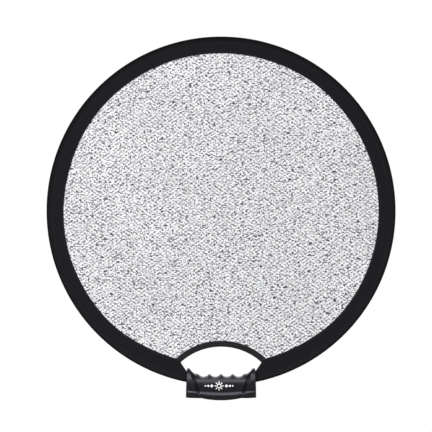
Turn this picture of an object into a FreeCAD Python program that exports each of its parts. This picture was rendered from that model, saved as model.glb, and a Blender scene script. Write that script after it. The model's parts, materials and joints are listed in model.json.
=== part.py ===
import FreeCAD, Part
import Sketcher
import os

# A collapsible reflector disc, millimetres.  A closed hoop of flat spring steel stretches two
# round fabric panels, silver in front and white behind.  A woven rim binding wraps the hoop and
# the panels' edges.  At the bottom the binding stops and the hoop runs through a moulded grip of
# two shells, with an opening for the fingers between the grip and the panels.
#
# Frame: the origin is the middle of the grip, +X runs along the grip, -Y is the silver side and
# +Z points up the disc.  The disc folds about the line across its middle, so the hoop, the
# binding and the panels are each cut there into an upper and a lower piece.

doc = FreeCAD.newDocument("CollapsibleReflector")

# ---------------------------------------------------------------------------------------------
# Driving dimensions

SIZES = [
    # the disc
    ("disc_radius", 300, "outer radius of the rim"),
    ("rim_above_origin", 5, "from the origin up to the lowest point of the rim"),
    ("rim_width", 29.3, "width of the rim binding, outer edge to inner edge"),
    ("hoop_width", 4.5, "width of the spring band, front to back"),
    ("hoop_thick", 1.0, "thickness of the spring band"),
    ("hoop_end_gap", 0.4, "gap between the band's two ends inside the ferrule"),
    ("binding_thick", 0.45, "thickness of one leaf of the binding"),
    ("bead_taper", 7, "length over which the binding slopes from the band to the flat leaf"),
    ("panel_thick", 0.45, "thickness of one fabric panel"),
    ("panel_past_seam", 1.2, "how far the panels reach beyond the channel seam"),
    ("ply_gap", 0.1, "air between the two panels"),
    ("fit_gap", 0.05, "clearance between the binding and what it wraps"),
    # the fold
    ("fold_limit", 120, "largest fold of the upper half, either way, in degrees"),
    ("fold_gap", 0.3, "half of the gap left between the halves at the fold line"),
    # the seams
    ("thread_width", 0.6, "width of a line of stitches"),
    ("thread_proud", 0.25, "how far a stitch stands off the cloth"),
    ("hem_margin", 2.6, "from the binding's inner edge to the hem seam"),
    ("channel_margin", 1.5, "from the foot of the binding's slope to the channel seam"),
    # the opening for the fingers and the ends of the rim
    ("opening_top", 71.8, "height of the opening's top over the origin"),
    ("corner_lift", 1.1, "how far each corner lies above where the rim's end stops"),
    ("opening_angle", 130, "angle that the tape on the opening spans before it is trimmed"),
    ("tape_width", 10.3, "width of the tape on the opening"),
    ("tape_trim", 0.1, "gap between the tape's ends and the rim binding"),
    ("rim_end_inset", 1.1, "how far inside the grip's side the rim's slanted end passes it"),
    ("rim_end_z", 29.8, "height of the same point"),
    ("rim_end_angle", 33.9, "lean of the rim's end from upright, in degrees"),
    ("end_stitch_margin", 2.4, "from the rim's end to its line of stitches"),
    ("bartack_margin", 1, "from the edge of the opening to the bar tack at each corner"),
    ("bartack_width", 1.8, "width of the bar tacks"),
    ("bartack_inset", 2.2, "from the tape's end to the bar tack"),
    # the ferrule
    ("ferrule_length", 26, "length of the crimped sleeve that joins the band's ends"),
    ("ferrule_wall", 0.6, "wall of the sleeve"),
    # the outline of the grip
    ("grip_half_width", 60.5, "half of the grip's width, at the bottom"),
    ("cheek_draft", 1.2, "how much narrower each side is at the shoulders' height"),
    ("grip_below", 16, "from the origin down to the grip's bottom edge"),
    ("belly_drop", 4, "how far the belly hangs under the bottom edge"),
    ("belly_half_width", 34, "half of the belly's width"),
    ("grip_corner", 1.2, "radius of the bottom corners"),
    ("horn_inset", 4.7, "from the grip's side in to the horn's tip"),
    ("horn_top", 34.4, "height of the horns' tips"),
    ("horn_radius", 2.6, "radius of a horn's tip"),
    ("horn_sag", 2.2, "depth of the hollow between horn and shoulder"),
    ("shoulder_run", 4.3, "from the outermost groove's edge to the shoulder"),
    ("shoulder_z", 24.6, "height of the shoulders"),
    ("shoulder_radius", 5.6, "radius of the shoulders"),
    ("finger_pitch", 20, "distance between finger grooves"),
    ("crest_z", 24, "height of the crests between the grooves"),
    ("groove_depth", 4.7, "depth of the finger grooves"),
    ("crest_radius", 2, "radius of the crests"),
    # the grip from the side
    ("front_depth", 14, "from the parting plane to the front of the belt and the palm swell"),
    ("front_waist", 1.2, "depth of the hollow between the swell and the belt"),
    ("front_top_fall", 5, "how much shallower the front is at the shoulders"),
    ("front_lip_fall", 3.4, "how much shallower it is at the bottom lip"),
    ("lip_below", 12.5, "from the origin down to the bottom lip"),
    ("belt_below", 6.5, "from the origin down to the belt"),
    ("swell_z", 8, "height of the palm swell"),
    ("back_depth", 13, "from the parting plane to the flat land on the back"),
    ("back_edge_fall", 4, "how much shallower the back is at its upper and lower edges"),
    ("back_land_low", 8, "lower edge of the back's flat land, below the origin"),
    ("back_land_high", 14, "upper edge of the back's flat land"),
    # the inside of the grip
    ("wall", 2.4, "wall of the shells"),
    ("cheek_thick", 11, "solid thickness of each cheek"),
    ("rib_thick", 1.8, "thickness of the ribs that hold the band"),
    ("rib_outer_inset", 23.5, "from the grip's side in to the outer ribs"),
    ("boss_radius", 4.2, "radius of the screw bosses"),
    ("boss_high_z", 14.6, "height of the upper bosses"),
    ("boss_low_inset", 14.5, "from the grip's side in to the lower bosses"),
    ("boss_low_below", 7.5, "from the origin down to the lower bosses"),
    ("channel_gap", 0.15, "clearance round the band and the ferrule in the grip"),
    ("mouth_gap", 0.35, "clearance round the rim where it enters the grip's sides"),
    # the screws
    ("screw_radius", 1.5, "radius of the screws' shanks"),
    ("screw_head_radius", 2.8, "radius of their heads"),
    ("screw_head_thick", 2, "thickness of their heads"),
    ("screw_length", 15, "length under the head"),
    ("screw_gap", 0.1, "clearance round a screw"),
    ("screw_seat", 5.2, "from the parting plane to the underside of the heads"),
    ("drive_radius", 1.1, "radius of the drive recess"),
    ("drive_deep", 1.1, "depth of the drive recess"),
]

sizes = doc.addObject("Spreadsheet::Sheet", "sizes")
for row, (alias, value, note) in enumerate(SIZES, start=1):
    sizes.set("A%d" % row, str(value))
    sizes.set("B%d" % row, note)
    sizes.setAlias("A%d" % row, alias)

# Sizes that follow from the driving ones
WORKED = [
    ("disc_z", "sizes.disc_radius + sizes.rim_above_origin"),
    ("hoop_outer", "sizes.disc_radius - sizes.binding_thick - sizes.fit_gap"),
    ("hoop_inner", "hoop_outer - sizes.hoop_thick"),
    ("hoop_half", "sizes.hoop_width / 2"),
    ("binding_inner", "sizes.disc_radius - sizes.rim_width"),
    ("panel_outer_y", "sizes.ply_gap / 2 + sizes.panel_thick"),
    ("leaf_inner_y", "panel_outer_y + sizes.fit_gap"),
    ("leaf_outer_y", "leaf_inner_y + sizes.binding_thick"),
    ("bead_inner_y", "hoop_half + sizes.fit_gap"),
    ("bead_outer_y", "bead_inner_y + sizes.binding_thick"),
    ("bead_shoulder", "hoop_inner - sizes.fit_gap"),
    ("bead_foot", "bead_shoulder - sizes.bead_taper"),
    ("hem_radius", "binding_inner + sizes.hem_margin"),
    ("channel_radius", "bead_foot - sizes.channel_margin"),
    ("panel_radius", "channel_radius + sizes.panel_past_seam"),
    ("fold_slope", "tan(sizes.fold_limit * 1deg / 2)"),
    ("wave_sum", "(sizes.finger_pitch^2 / 4 + sizes.groove_depth^2) / (2 * sizes.groove_depth)"),
    ("groove_radius", "wave_sum - sizes.crest_radius"),
    ("groove_half", "groove_radius * sizes.finger_pitch / 2 / wave_sum"),
    ("groove_edge_z", "sizes.crest_z - sizes.crest_radius * sizes.groove_depth / wave_sum"),
    ("shoulder_x", "1.5 * sizes.finger_pitch + groove_half + sizes.shoulder_run"),
    ("horn_x", "sizes.grip_half_width - sizes.horn_inset"),
    # each horn's tip is an arc between its outer side and the hollow, which starts where a
    # radius of the tip that rises 3 for every 4 across meets it
    ("tip_x", "horn_x - 0.8 * sizes.horn_radius"),
    ("tip_z", "sizes.horn_top - 0.4 * sizes.horn_radius"),
    ("hollow_square", "(tip_x - shoulder_x)^2 + (tip_z - sizes.shoulder_z)^2"),
    ("horn_sweep", "(hollow_square / 4 + sizes.horn_sag^2) / (2 * sizes.horn_sag)"),
    # the rim's end is a sloping line, and the opening's corner is where it meets the rim's
    # inner circle
    ("rim_end_x", "sizes.grip_half_width - sizes.rim_end_inset"),
    ("end_slope", "tan(sizes.rim_end_angle * 1deg)"),
    ("end_foot_x", "rim_end_x - end_slope * sizes.rim_end_z"),
    ("end_square", "1 + end_slope^2"),
    ("corner_half", "disc_z - end_foot_x * end_slope"),
    ("corner_rest", "end_square * (end_foot_x^2 + disc_z^2 - binding_inner^2)"),
    ("corner_z", "(corner_half - sqrt(corner_half^2 - corner_rest)) / end_square"),
    ("corner_x", "end_foot_x + end_slope * corner_z"),
    ("opening_rise", "sizes.opening_top - corner_z - sizes.corner_lift"),
    ("opening_radius", "(corner_x^2 + opening_rise^2) / (2 * opening_rise)"),
    ("opening_z", "sizes.opening_top - opening_radius"),
    ("tape_outer", "opening_radius + sizes.tape_width"),
    ("notch_radius", "opening_radius + sizes.binding_thick + sizes.fit_gap"),
    ("tape_seam_radius", "tape_outer - sizes.hem_margin / 2"),
    ("belly_radius",
     "(sizes.belly_half_width^2 + sizes.belly_drop^2) / (2 * sizes.belly_drop)"),
    ("cavity_top", "sizes.crest_z - sizes.groove_depth - sizes.wall"),
    ("ferrule_inner_y", "hoop_half + sizes.fit_gap"),
    ("ferrule_outer_y", "ferrule_inner_y + sizes.ferrule_wall"),
    ("ferrule_low", "hoop_inner - sizes.fit_gap - sizes.ferrule_wall"),
    ("ferrule_high", "hoop_outer + sizes.fit_gap + sizes.ferrule_wall"),
    ("far", "sizes.disc_radius * 1.2"),
]

worked = doc.addObject("Spreadsheet::Sheet", "worked")
for row, (alias, formula) in enumerate(WORKED, start=1):
    worked.set("A%d" % row, "=" + formula)
    worked.setAlias("A%d" % row, alias)
doc.recompute()


def value_of(formula):
    """Today's value of a formula that names cells of the two sheets."""
    return float(sizes.evalExpression(formula))


# ---------------------------------------------------------------------------------------------
# Helpers

def new_body(name):
    """A PartDesign body."""
    return doc.addObject("PartDesign::Body", name)


def origin_plane(body, role):
    """The body's own origin plane of that role."""
    return [item for item in body.Origin.OriginFeatures if item.Role == role][0]


def new_sketch(body, name, role):
    """An empty sketch lying on one of the body's origin planes."""
    sketch = body.newObject("Sketcher::SketchObject", name)
    sketch.AttachmentSupport = (origin_plane(body, role), [""])
    sketch.MapMode = "FlatFace"
    return sketch


def pin(sketch, kind, geometry, vertex, formula):
    """Hold one coordinate of a vertex at a formula's value, measured from the sketch's origin."""
    index = sketch.addConstraint(
        Sketcher.Constraint(kind, -1, 1, geometry, vertex, value_of(formula)))
    sketch.setExpression("Constraints[%d]" % index, formula)


def arc_through(start, end, radius):
    """The short arc from start to end.  Its centre is on the left of the way if radius > 0."""
    chord = end - start
    rise = (radius * radius - chord.Length ** 2 / 4) ** 0.5
    side = 1 if radius > 0 else -1
    left = FreeCAD.Vector(-chord.y, chord.x, 0).normalize()
    centre = (start + end) * 0.5 + left * (rise * side)
    middle = centre - left * (abs(radius) * side)
    return Part.Arc(start, middle, end), side


def outline(sketch, points):
    """Draw a closed outline.  Each point is (x, y) or (x, y, radius of the arc that follows)."""
    places = [FreeCAD.Vector(value_of(p[0]), value_of(p[1]), 0) for p in points]
    edges = []
    for i, point in enumerate(points):
        start, end = places[i], places[(i + 1) % len(points)]
        if len(point) == 2:
            index = sketch.addGeometry(Part.LineSegment(start, end), False)
            edges.append((index, 1, 2))
            continue
        arc, side = arc_through(start, end, value_of(point[2]))
        index = sketch.addGeometry(arc, False)
        edges.append((index, 1, 2) if side > 0 else (index, 2, 1))
        held = sketch.addConstraint(
            Sketcher.Constraint("Radius", index, abs(value_of(point[2]))))
        sketch.setExpression("Constraints[%d]" % held, "abs(%s)" % point[2])
    for i, (index, _, last) in enumerate(edges):
        following = edges[(i + 1) % len(edges)]
        sketch.addConstraint(
            Sketcher.Constraint("Coincident", index, last, following[0], following[1]))
    for point, (index, first, _) in zip(points, edges):
        pin(sketch, "DistanceX", index, first, point[0])
        pin(sketch, "DistanceY", index, first, point[1])


def rectangle(sketch, left, low, right, high):
    """Draw an upright rectangle between four formulas."""
    outline(sketch, [(left, low), (right, low), (right, high), (left, high)])


def circle(sketch, centre_y, radius):
    """Draw a circle whose centre lies on the sketch's vertical axis."""
    index = sketch.addGeometry(
        Part.Circle(FreeCAD.Vector(0, value_of(centre_y), 0), FreeCAD.Vector(0, 0, 1),
                    value_of(radius)), False)
    sketch.addConstraint(Sketcher.Constraint("PointOnObject", index, 3, -2))
    pin(sketch, "DistanceY", index, 3, centre_y)
    held = sketch.addConstraint(Sketcher.Constraint("Radius", index, value_of(radius)))
    sketch.setExpression("Constraints[%d]" % held, radius)


def pad(body, sketch, name, length):
    """Pad a sketch by a formula, half each way."""
    feature = body.newObject("PartDesign::Pad", name)
    feature.Profile = sketch
    feature.setExpression("Length", length)
    feature.Midplane = True
    return feature


def pocket_through(body, sketch, name):
    """Cut a sketch's outline right through the body, both ways."""
    feature = body.newObject("PartDesign::Pocket", name)
    feature.Profile = sketch
    feature.setExpression("Length", "4 * worked.far")
    feature.Midplane = True
    return feature


def ring(name, profiles, centre_z, degrees="360", at_bottom=False):
    """Turn one or more closed profiles about the line along Y through (0, 0, centre_z).

    Each profile is a list of points (y, distance from that line, radius of the arc that
    follows), drawn above the line, or under it if at_bottom.
    """
    body = new_body(name)
    sketch = new_sketch(body, name + "_profile", "YZ_Plane")
    sign = "-" if at_bottom else "+"
    for profile in profiles:
        outline(sketch, [("%s" % p[0], "%s %s (%s)" % (centre_z, sign, p[1])) + tuple(p[2:])
                         for p in profile])
    height = value_of(centre_z)
    axis = sketch.addGeometry(
        Part.LineSegment(FreeCAD.Vector(0, height, 0), FreeCAD.Vector(1, height, 0)), True)
    sketch.addConstraint(Sketcher.Constraint("PointOnObject", axis, 1, -2))
    sketch.addConstraint(Sketcher.Constraint("Horizontal", axis))
    sketch.addConstraint(Sketcher.Constraint("DistanceX", axis, 1, axis, 2, 1))
    pin(sketch, "DistanceY", axis, 1, centre_z)
    turned = body.newObject("PartDesign::Revolution", name + "_turned")
    turned.Profile = sketch
    turned.ReferenceAxis = (sketch, ["Axis0"])
    turned.setExpression("Angle", degrees)
    turned.Midplane = True
    return body


def slab(name, role, points, length):
    """A prism on one of the origin planes, half each way."""
    body = new_body(name)
    sketch = new_sketch(body, name + "_outline", role)
    outline(sketch, points)
    pad(body, sketch, name + "_pad", length)
    return body


def common(name, base, tool):
    """What two shapes share."""
    feature = doc.addObject("Part::Common", name)
    feature.Base = base
    feature.Tool = tool
    return feature


def cut(name, base, tool):
    """One shape less another."""
    feature = doc.addObject("Part::Cut", name)
    feature.Base = base
    feature.Tool = tool
    return feature


def fuse(name, shapes):
    """Several shapes joined into one."""
    feature = doc.addObject("Part::MultiFuse", name)
    feature.Shapes = shapes
    return feature


def group(name, shapes):
    """Several separate solids that share one node."""
    feature = doc.addObject("Part::Compound", name)
    feature.Links = shapes
    return feature


def box(name, corner, lengths):
    """A Part box from formulas for its lowest corner and its three sides."""
    feature = doc.addObject("Part::Box", name)
    for side, formula in zip(("Length", "Width", "Height"), lengths):
        feature.setExpression(side, formula)
    for axis, formula in zip("xyz", corner):
        feature.setExpression("Placement.Base." + axis, formula)
    return feature


def rod(name, place, radius, length):
    """A Part cylinder that runs along +Y from its place."""
    feature = doc.addObject("Part::Cylinder", name)
    feature.setExpression("Radius", radius)
    feature.setExpression("Height", length)
    feature.Placement = FreeCAD.Placement(
        FreeCAD.Vector(), FreeCAD.Rotation(FreeCAD.Vector(1, 0, 0), -90))
    for axis, formula in zip("xyz", place):
        feature.setExpression("Placement.Base." + axis, formula)
    return feature


SIDES = (("left", "-1"), ("right", "1"))

# ---------------------------------------------------------------------------------------------
# Regions that divide the disc's rings

# The two halves stop short of the fold line by a wedge, so that neither meets the other over
# the whole fold.
WEDGE_REACH = "4 * worked.bead_outer_y"
WEDGE_RISE = "(sizes.fold_gap + worked.fold_slope * %s)" % WEDGE_REACH


def fold_region(name, sign):
    """Everything on one side of the fold line, above it for +1 and below it for -1."""
    rise = "worked.disc_z %s " % sign
    corner = [
        ("0", rise + "sizes.fold_gap"),
        (WEDGE_REACH, rise + WEDGE_RISE),
        (WEDGE_REACH, rise + "worked.far"),
        ("-" + WEDGE_REACH, rise + "worked.far"),
        ("-" + WEDGE_REACH, rise + WEDGE_RISE),
    ]
    return slab(name, "YZ_Plane", corner, "4 * worked.far")


def end_region(name, side, inset):
    """Everything outboard of the rim's slanted end on one side, moved outboard by an inset."""
    low = "(worked.rim_end_x %s - worked.end_slope * (sizes.rim_end_z + worked.disc_z / 4))" % inset
    high = "(worked.rim_end_x %s + worked.end_slope * worked.disc_z / 4)" % inset
    points = [
        (side + " * " + low, "-worked.disc_z / 4"),
        (side + " * " + high, "sizes.rim_end_z + worked.disc_z / 4"),
        (side + " * " + high, "worked.disc_z + worked.far"),
        (side + " * 2 * worked.far", "worked.disc_z + worked.far"),
        (side + " * 2 * worked.far", "-worked.disc_z / 4"),
    ]
    return slab(name, "XZ_Plane", points, "8 * worked.bead_outer_y")


keep_upper = fold_region("keep_upper", "+")
keep_lower = fold_region("keep_lower", "-")
keep_end = {}
keep_quarter = {}
for side, sign in SIDES:
    keep_end[side] = end_region("keep_end_" + side, sign, "")
    keep_quarter[side] = common("keep_quarter_" + side, keep_end[side], keep_lower)

# ---------------------------------------------------------------------------------------------
# The hoop and its ferrule

hoop_section = [
    ("-worked.hoop_half", "worked.hoop_inner"),
    ("worked.hoop_half", "worked.hoop_inner"),
    ("worked.hoop_half", "worked.hoop_outer"),
    ("-worked.hoop_half", "worked.hoop_outer"),
]
hoop = ring("hoop", [hoop_section], "worked.disc_z")
hoop_upper = common("hoop_upper", hoop, keep_upper)
hoop_lower = common("hoop_lower", hoop, keep_lower)
hoop_sides = []
for side, sign in SIDES:
    reach = sign + " * 2 * worked.far"
    start = sign + " * sizes.hoop_end_gap / 2"
    half = slab("keep_hoop_" + side, "XZ_Plane", [
        (start, "-worked.far"),
        (reach, "-worked.far"),
        (reach, "2 * worked.far"),
        (start, "2 * worked.far"),
    ], "4 * worked.bead_outer_y")
    hoop_sides.append(common("hoop_lower_" + side, hoop_lower, half))

ferrule_hole = [
    ("-worked.ferrule_inner_y", "worked.hoop_inner - sizes.fit_gap"),
    ("worked.ferrule_inner_y", "worked.hoop_inner - sizes.fit_gap"),
    ("worked.ferrule_inner_y", "worked.hoop_outer + sizes.fit_gap"),
    ("-worked.ferrule_inner_y", "worked.hoop_outer + sizes.fit_gap"),
]
ferrule_section = [
    ("-worked.ferrule_outer_y", "worked.ferrule_low"),
    ("worked.ferrule_outer_y", "worked.ferrule_low"),
    ("worked.ferrule_outer_y", "worked.ferrule_high"),
    ("-worked.ferrule_outer_y", "worked.ferrule_high"),
]
FERRULE_ANGLE = "sizes.ferrule_length / worked.hoop_inner * 180 / pi"
hoop_ferrule = ring("hoop_ferrule", [ferrule_section, ferrule_hole], "worked.disc_z",
                    FERRULE_ANGLE, at_bottom=True)

# ---------------------------------------------------------------------------------------------
# The rim binding, a folded tape whose two leaves hold the hoop and the panels

binding_section = [
    ("-worked.leaf_outer_y", "worked.binding_inner"),
    ("-worked.leaf_inner_y", "worked.binding_inner"),
    ("-worked.leaf_inner_y", "worked.bead_foot"),
    ("-worked.bead_inner_y", "worked.bead_shoulder"),
    ("-worked.bead_inner_y", "worked.hoop_outer + sizes.fit_gap"),
    ("worked.bead_inner_y", "worked.hoop_outer + sizes.fit_gap"),
    ("worked.bead_inner_y", "worked.bead_shoulder"),
    ("worked.leaf_inner_y", "worked.bead_foot"),
    ("worked.leaf_inner_y", "worked.binding_inner"),
    ("worked.leaf_outer_y", "worked.binding_inner"),
    ("worked.leaf_outer_y", "worked.bead_foot"),
    ("worked.bead_outer_y", "worked.bead_shoulder"),
    ("worked.bead_outer_y", "worked.hoop_outer + sizes.fit_gap"),
    ("worked.bead_inner_y", "sizes.disc_radius"),
    ("-worked.bead_inner_y", "sizes.disc_radius"),
    ("-worked.bead_outer_y", "worked.hoop_outer + sizes.fit_gap"),
    ("-worked.bead_outer_y", "worked.bead_shoulder"),
    ("-worked.leaf_outer_y", "worked.bead_foot"),
]
binding = ring("binding", [binding_section], "worked.disc_z")
binding_upper = common("rim_binding_upper", binding, keep_upper)
binding_sides = [common("rim_binding_lower_" + side, binding, keep_quarter[side])
                 for side, _ in SIDES]

# ---------------------------------------------------------------------------------------------
# The two fabric panels, back to back, with a round notch over the grip


def panel(name, near, far_side):
    """One panel, upper and lower, between two formulas for its faces along Y."""
    body = ring(name, [[
        (near, "worked.panel_radius"),
        (near, "0"),
        (far_side, "0"),
        (far_side, "worked.panel_radius"),
    ]], "worked.disc_z")
    notch = new_sketch(body, name + "_notch_circle", "XZ_Plane")
    circle(notch, "worked.opening_z", "worked.notch_radius")
    pocket_through(body, notch, name + "_notch")
    return (common(name + "_upper", body, keep_upper), common(name + "_lower", body, keep_lower))


silver_panels = panel("silver_panel", "-worked.panel_outer_y", "-sizes.ply_gap / 2")
white_panels = panel("white_panel", "sizes.ply_gap / 2", "worked.panel_outer_y")

# ---------------------------------------------------------------------------------------------
# The tape on the opening

tape_section = [
    ("-worked.leaf_outer_y", "worked.opening_radius"),
    ("worked.leaf_outer_y", "worked.opening_radius"),
    ("worked.leaf_outer_y", "worked.tape_outer"),
    ("worked.leaf_inner_y", "worked.tape_outer"),
    ("worked.leaf_inner_y", "worked.opening_radius + sizes.binding_thick"),
    ("-worked.leaf_inner_y", "worked.opening_radius + sizes.binding_thick"),
    ("-worked.leaf_inner_y", "worked.tape_outer"),
    ("-worked.leaf_outer_y", "worked.tape_outer"),
]
inside_rim = new_body("inside_rim")
inside_rim_circle = new_sketch(inside_rim, "inside_rim_circle", "XZ_Plane")
circle(inside_rim_circle, "worked.disc_z", "worked.binding_inner - sizes.tape_trim")
pad(inside_rim, inside_rim_circle, "inside_rim_pad", "8 * worked.bead_outer_y")
tape = ring("tape", [tape_section], "worked.opening_z", "sizes.opening_angle")
opening_binding = common("opening_binding", tape, inside_rim)

# ---------------------------------------------------------------------------------------------
# Stitches: each seam shows as a line of thread on the front and on the back

THREAD_TOP = "(worked.leaf_outer_y + sizes.thread_proud)"
thread_layers = []
for face, low in (("front", "-" + THREAD_TOP), ("back", "worked.leaf_outer_y")):
    thread_layers.append(box(
        "thread_layer_" + face,
        ("-2 * worked.far", low, "-worked.far"),
        ("4 * worked.far", "sizes.thread_proud", "4 * worked.far")))
thread_skin = group("thread_skin", thread_layers)


def band(name, low, high, centre_z="worked.disc_z", degrees="360"):
    """A flat ring between two radii, deeper front to back than any stitch."""
    return ring(name, [[
        ("-2 * " + THREAD_TOP, low),
        ("2 * " + THREAD_TOP, low),
        ("2 * " + THREAD_TOP, high),
        ("-2 * " + THREAD_TOP, high),
    ]], centre_z, degrees)


def seam_band(name, radius, centre_z="worked.disc_z", degrees="360"):
    """The stitches of one round seam, on both faces."""
    half = "sizes.thread_width / 2"
    line = band(name + "_band", "%s - %s" % (radius, half), "%s + %s" % (radius, half),
                centre_z, degrees)
    return common(name + "_all", line, thread_skin)


keep_quarters = group("keep_quarters", [keep_quarter[side] for side, _ in SIDES])
seams = []
for name, radius in (("channel_seam", "worked.channel_radius"),
                     ("hem_seam", "worked.hem_radius")):
    whole = seam_band(name, radius)
    seams.append(common(name + "_upper", whole, keep_upper))
    seams.append(common(name + "_lower", whole, keep_quarters))

tape_seam = seam_band("opening_seam", "worked.tape_seam_radius",
                      "worked.opening_z", "sizes.opening_angle")
opening_seam = common("opening_seam", tape_seam, inside_rim)

# The rim's ends are turned in and sewn down, between the hem seam and the channel seam
between_seams = band("between_seams",
                     "worked.hem_radius + sizes.thread_width",
                     "worked.channel_radius - sizes.thread_width")
end_lines = []
for side, sign in SIDES:
    outboard = end_region("end_stitch_start_" + side, sign, "+ sizes.end_stitch_margin")
    beyond = end_region("end_stitch_stop_" + side, sign,
                        "+ sizes.end_stitch_margin + sizes.thread_width")
    end_lines.append(cut("end_line_" + side, outboard, beyond))
end_slices = common("end_slices", group("end_lines", end_lines), between_seams)
end_quarters = common("end_quarters", end_slices, keep_lower)
rim_end_seams = common("rim_end_seams", end_quarters, thread_skin)

# A bar tack crosses the tape beside each corner of the opening
tack_across = band("tack_across", "worked.opening_radius + sizes.bartack_margin",
                   "worked.tape_seam_radius - sizes.thread_width",
                   "worked.opening_z", "sizes.opening_angle")
TACK_HIGH = "worked.binding_inner - sizes.tape_trim - sizes.bartack_inset"
tack_along = band("tack_along", TACK_HIGH + " - sizes.bartack_width", TACK_HIGH)
tack_pair = common("tack_pair", tack_across, tack_along)
corner_bartacks = common("corner_bartacks", tack_pair, thread_skin)

# ---------------------------------------------------------------------------------------------
# The grip: two shells that meet at the plane y = 0


def finger_wave():
    """The grooved top edge, from the right shoulder to the left one."""
    points = [("worked.shoulder_x", "sizes.shoulder_z", "sizes.shoulder_radius")]
    for groove in (3, 1, -1, -3):
        middle = "%d * sizes.finger_pitch / 2" % groove
        points.append((middle + " + worked.groove_half", "worked.groove_edge_z",
                       "-worked.groove_radius"))
        last = groove == -3
        crest = "sizes.shoulder_radius" if last else "sizes.crest_radius"
        points.append((middle + " - worked.groove_half", "worked.groove_edge_z", crest))
    return points


grip_points = [
    ("-sizes.belly_half_width", "-sizes.grip_below", "worked.belly_radius"),
    ("sizes.belly_half_width", "-sizes.grip_below"),
    ("sizes.grip_half_width - sizes.grip_corner", "-sizes.grip_below", "sizes.grip_corner"),
    ("sizes.grip_half_width", "sizes.grip_corner - sizes.grip_below"),
    ("sizes.grip_half_width - sizes.cheek_draft", "sizes.shoulder_z"),
    ("worked.horn_x + sizes.horn_radius", "sizes.horn_top - sizes.horn_radius",
     "sizes.horn_radius"),
    ("worked.tip_x", "worked.tip_z", "-worked.horn_sweep"),
]
grip_points += finger_wave()
grip_points += [
    ("-worked.shoulder_x", "sizes.shoulder_z", "-worked.horn_sweep"),
    ("-worked.tip_x", "worked.tip_z", "sizes.horn_radius"),
    ("-worked.horn_x - sizes.horn_radius", "sizes.horn_top - sizes.horn_radius"),
    ("sizes.cheek_draft - sizes.grip_half_width", "sizes.shoulder_z"),
    ("-sizes.grip_half_width", "sizes.grip_corner - sizes.grip_below", "sizes.grip_corner"),
    ("-sizes.grip_half_width + sizes.grip_corner", "-sizes.grip_below"),
]
grip_outline = slab("grip_outline", "XZ_Plane", grip_points,
                    "4 * (sizes.front_depth + sizes.back_depth)")

GRIP_LOW = "-sizes.grip_below - 2 * sizes.belly_drop"
GRIP_HIGH = "2 * sizes.horn_top"
GRIP_LENGTH = "4 * sizes.grip_half_width"
front_profile = slab("front_profile", "YZ_Plane", [
    ("0", GRIP_LOW),
    ("sizes.front_lip_fall - sizes.front_depth", GRIP_LOW),
    ("sizes.front_lip_fall - sizes.front_depth", "-sizes.lip_below",
     "-((sizes.lip_below - sizes.belt_below)^2 + sizes.front_lip_fall^2)"
     " / (2 * sizes.front_lip_fall)"),
    ("-sizes.front_depth", "-sizes.belt_below",
     "((sizes.swell_z + sizes.belt_below)^2 / 4 + sizes.front_waist^2)"
     " / (2 * sizes.front_waist)"),
    ("-sizes.front_depth", "sizes.swell_z",
     "-((sizes.shoulder_z - sizes.swell_z)^2 + sizes.front_top_fall^2)"
     " / (2 * sizes.front_top_fall)"),
    ("sizes.front_top_fall - sizes.front_depth", "sizes.shoulder_z"),
    ("sizes.front_top_fall - sizes.front_depth", GRIP_HIGH),
    ("0", GRIP_HIGH),
], GRIP_LENGTH)
back_profile = slab("back_profile", "YZ_Plane", [
    ("0", GRIP_LOW),
    ("sizes.back_depth - sizes.back_edge_fall", GRIP_LOW),
    ("sizes.back_depth", "-sizes.back_land_low"),
    ("sizes.back_depth", "sizes.back_land_high"),
    ("sizes.back_depth - sizes.back_edge_fall", "sizes.horn_top"),
    ("sizes.back_depth - sizes.back_edge_fall", GRIP_HIGH),
    ("0", GRIP_HIGH),
], GRIP_LENGTH)

# The cavities follow the two profiles, a wall inside them
CAVITY_LOW = "sizes.wall - sizes.grip_below"
CAVITY_LENGTH = "2 * (sizes.grip_half_width - sizes.cheek_thick)"
front_cavity = slab("front_cavity", "YZ_Plane", [
    ("0", CAVITY_LOW),
    ("sizes.front_lip_fall - sizes.front_depth + sizes.wall", CAVITY_LOW),
    ("sizes.front_waist - sizes.front_depth + sizes.wall", "-sizes.belt_below"),
    ("sizes.front_waist - sizes.front_depth + sizes.wall", "sizes.swell_z"),
    ("sizes.front_top_fall - sizes.front_depth + sizes.wall", "worked.cavity_top"),
    ("0", "worked.cavity_top"),
], CAVITY_LENGTH)
back_cavity = slab("back_cavity", "YZ_Plane", [
    ("0", CAVITY_LOW),
    ("sizes.back_depth - sizes.back_edge_fall - sizes.wall", CAVITY_LOW),
    ("sizes.back_depth - sizes.wall", "-sizes.back_land_low"),
    ("sizes.back_depth - sizes.wall", "worked.cavity_top - sizes.wall"),
    ("sizes.back_depth - sizes.back_edge_fall - sizes.wall", "worked.cavity_top"),
    ("0", "worked.cavity_top"),
], CAVITY_LENGTH)

# The ribs that hold the band stand beside the ferrule and near the cheeks
RIB_INNER = "(sizes.ferrule_length / 2 + sizes.channel_gap + sizes.rib_thick / 2)"
supports = []
RIB_OUTER = "(sizes.grip_half_width - sizes.rib_outer_inset)"
rib_places = [(RIB_INNER, "inner"), (RIB_OUTER, "outer")]
for side, sign in SIDES:
    for place, label in rib_places:
        supports.append(box(
            "rib_%s_%s" % (label, side),
            ("%s * %s - sizes.rib_thick / 2" % (sign, place), "-sizes.front_depth", CAVITY_LOW),
            ("sizes.rib_thick", "sizes.front_depth + sizes.back_depth",
             "worked.cavity_top - (%s)" % CAVITY_LOW)))

boss_places = []
for side, sign in SIDES:
    low_x = " * (sizes.grip_half_width - sizes.boss_low_inset)"
    boss_places.append(("high_" + side, sign + " * sizes.finger_pitch", "sizes.boss_high_z"))
    boss_places.append(("low_" + side, sign + low_x, "-sizes.boss_low_below"))

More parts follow.
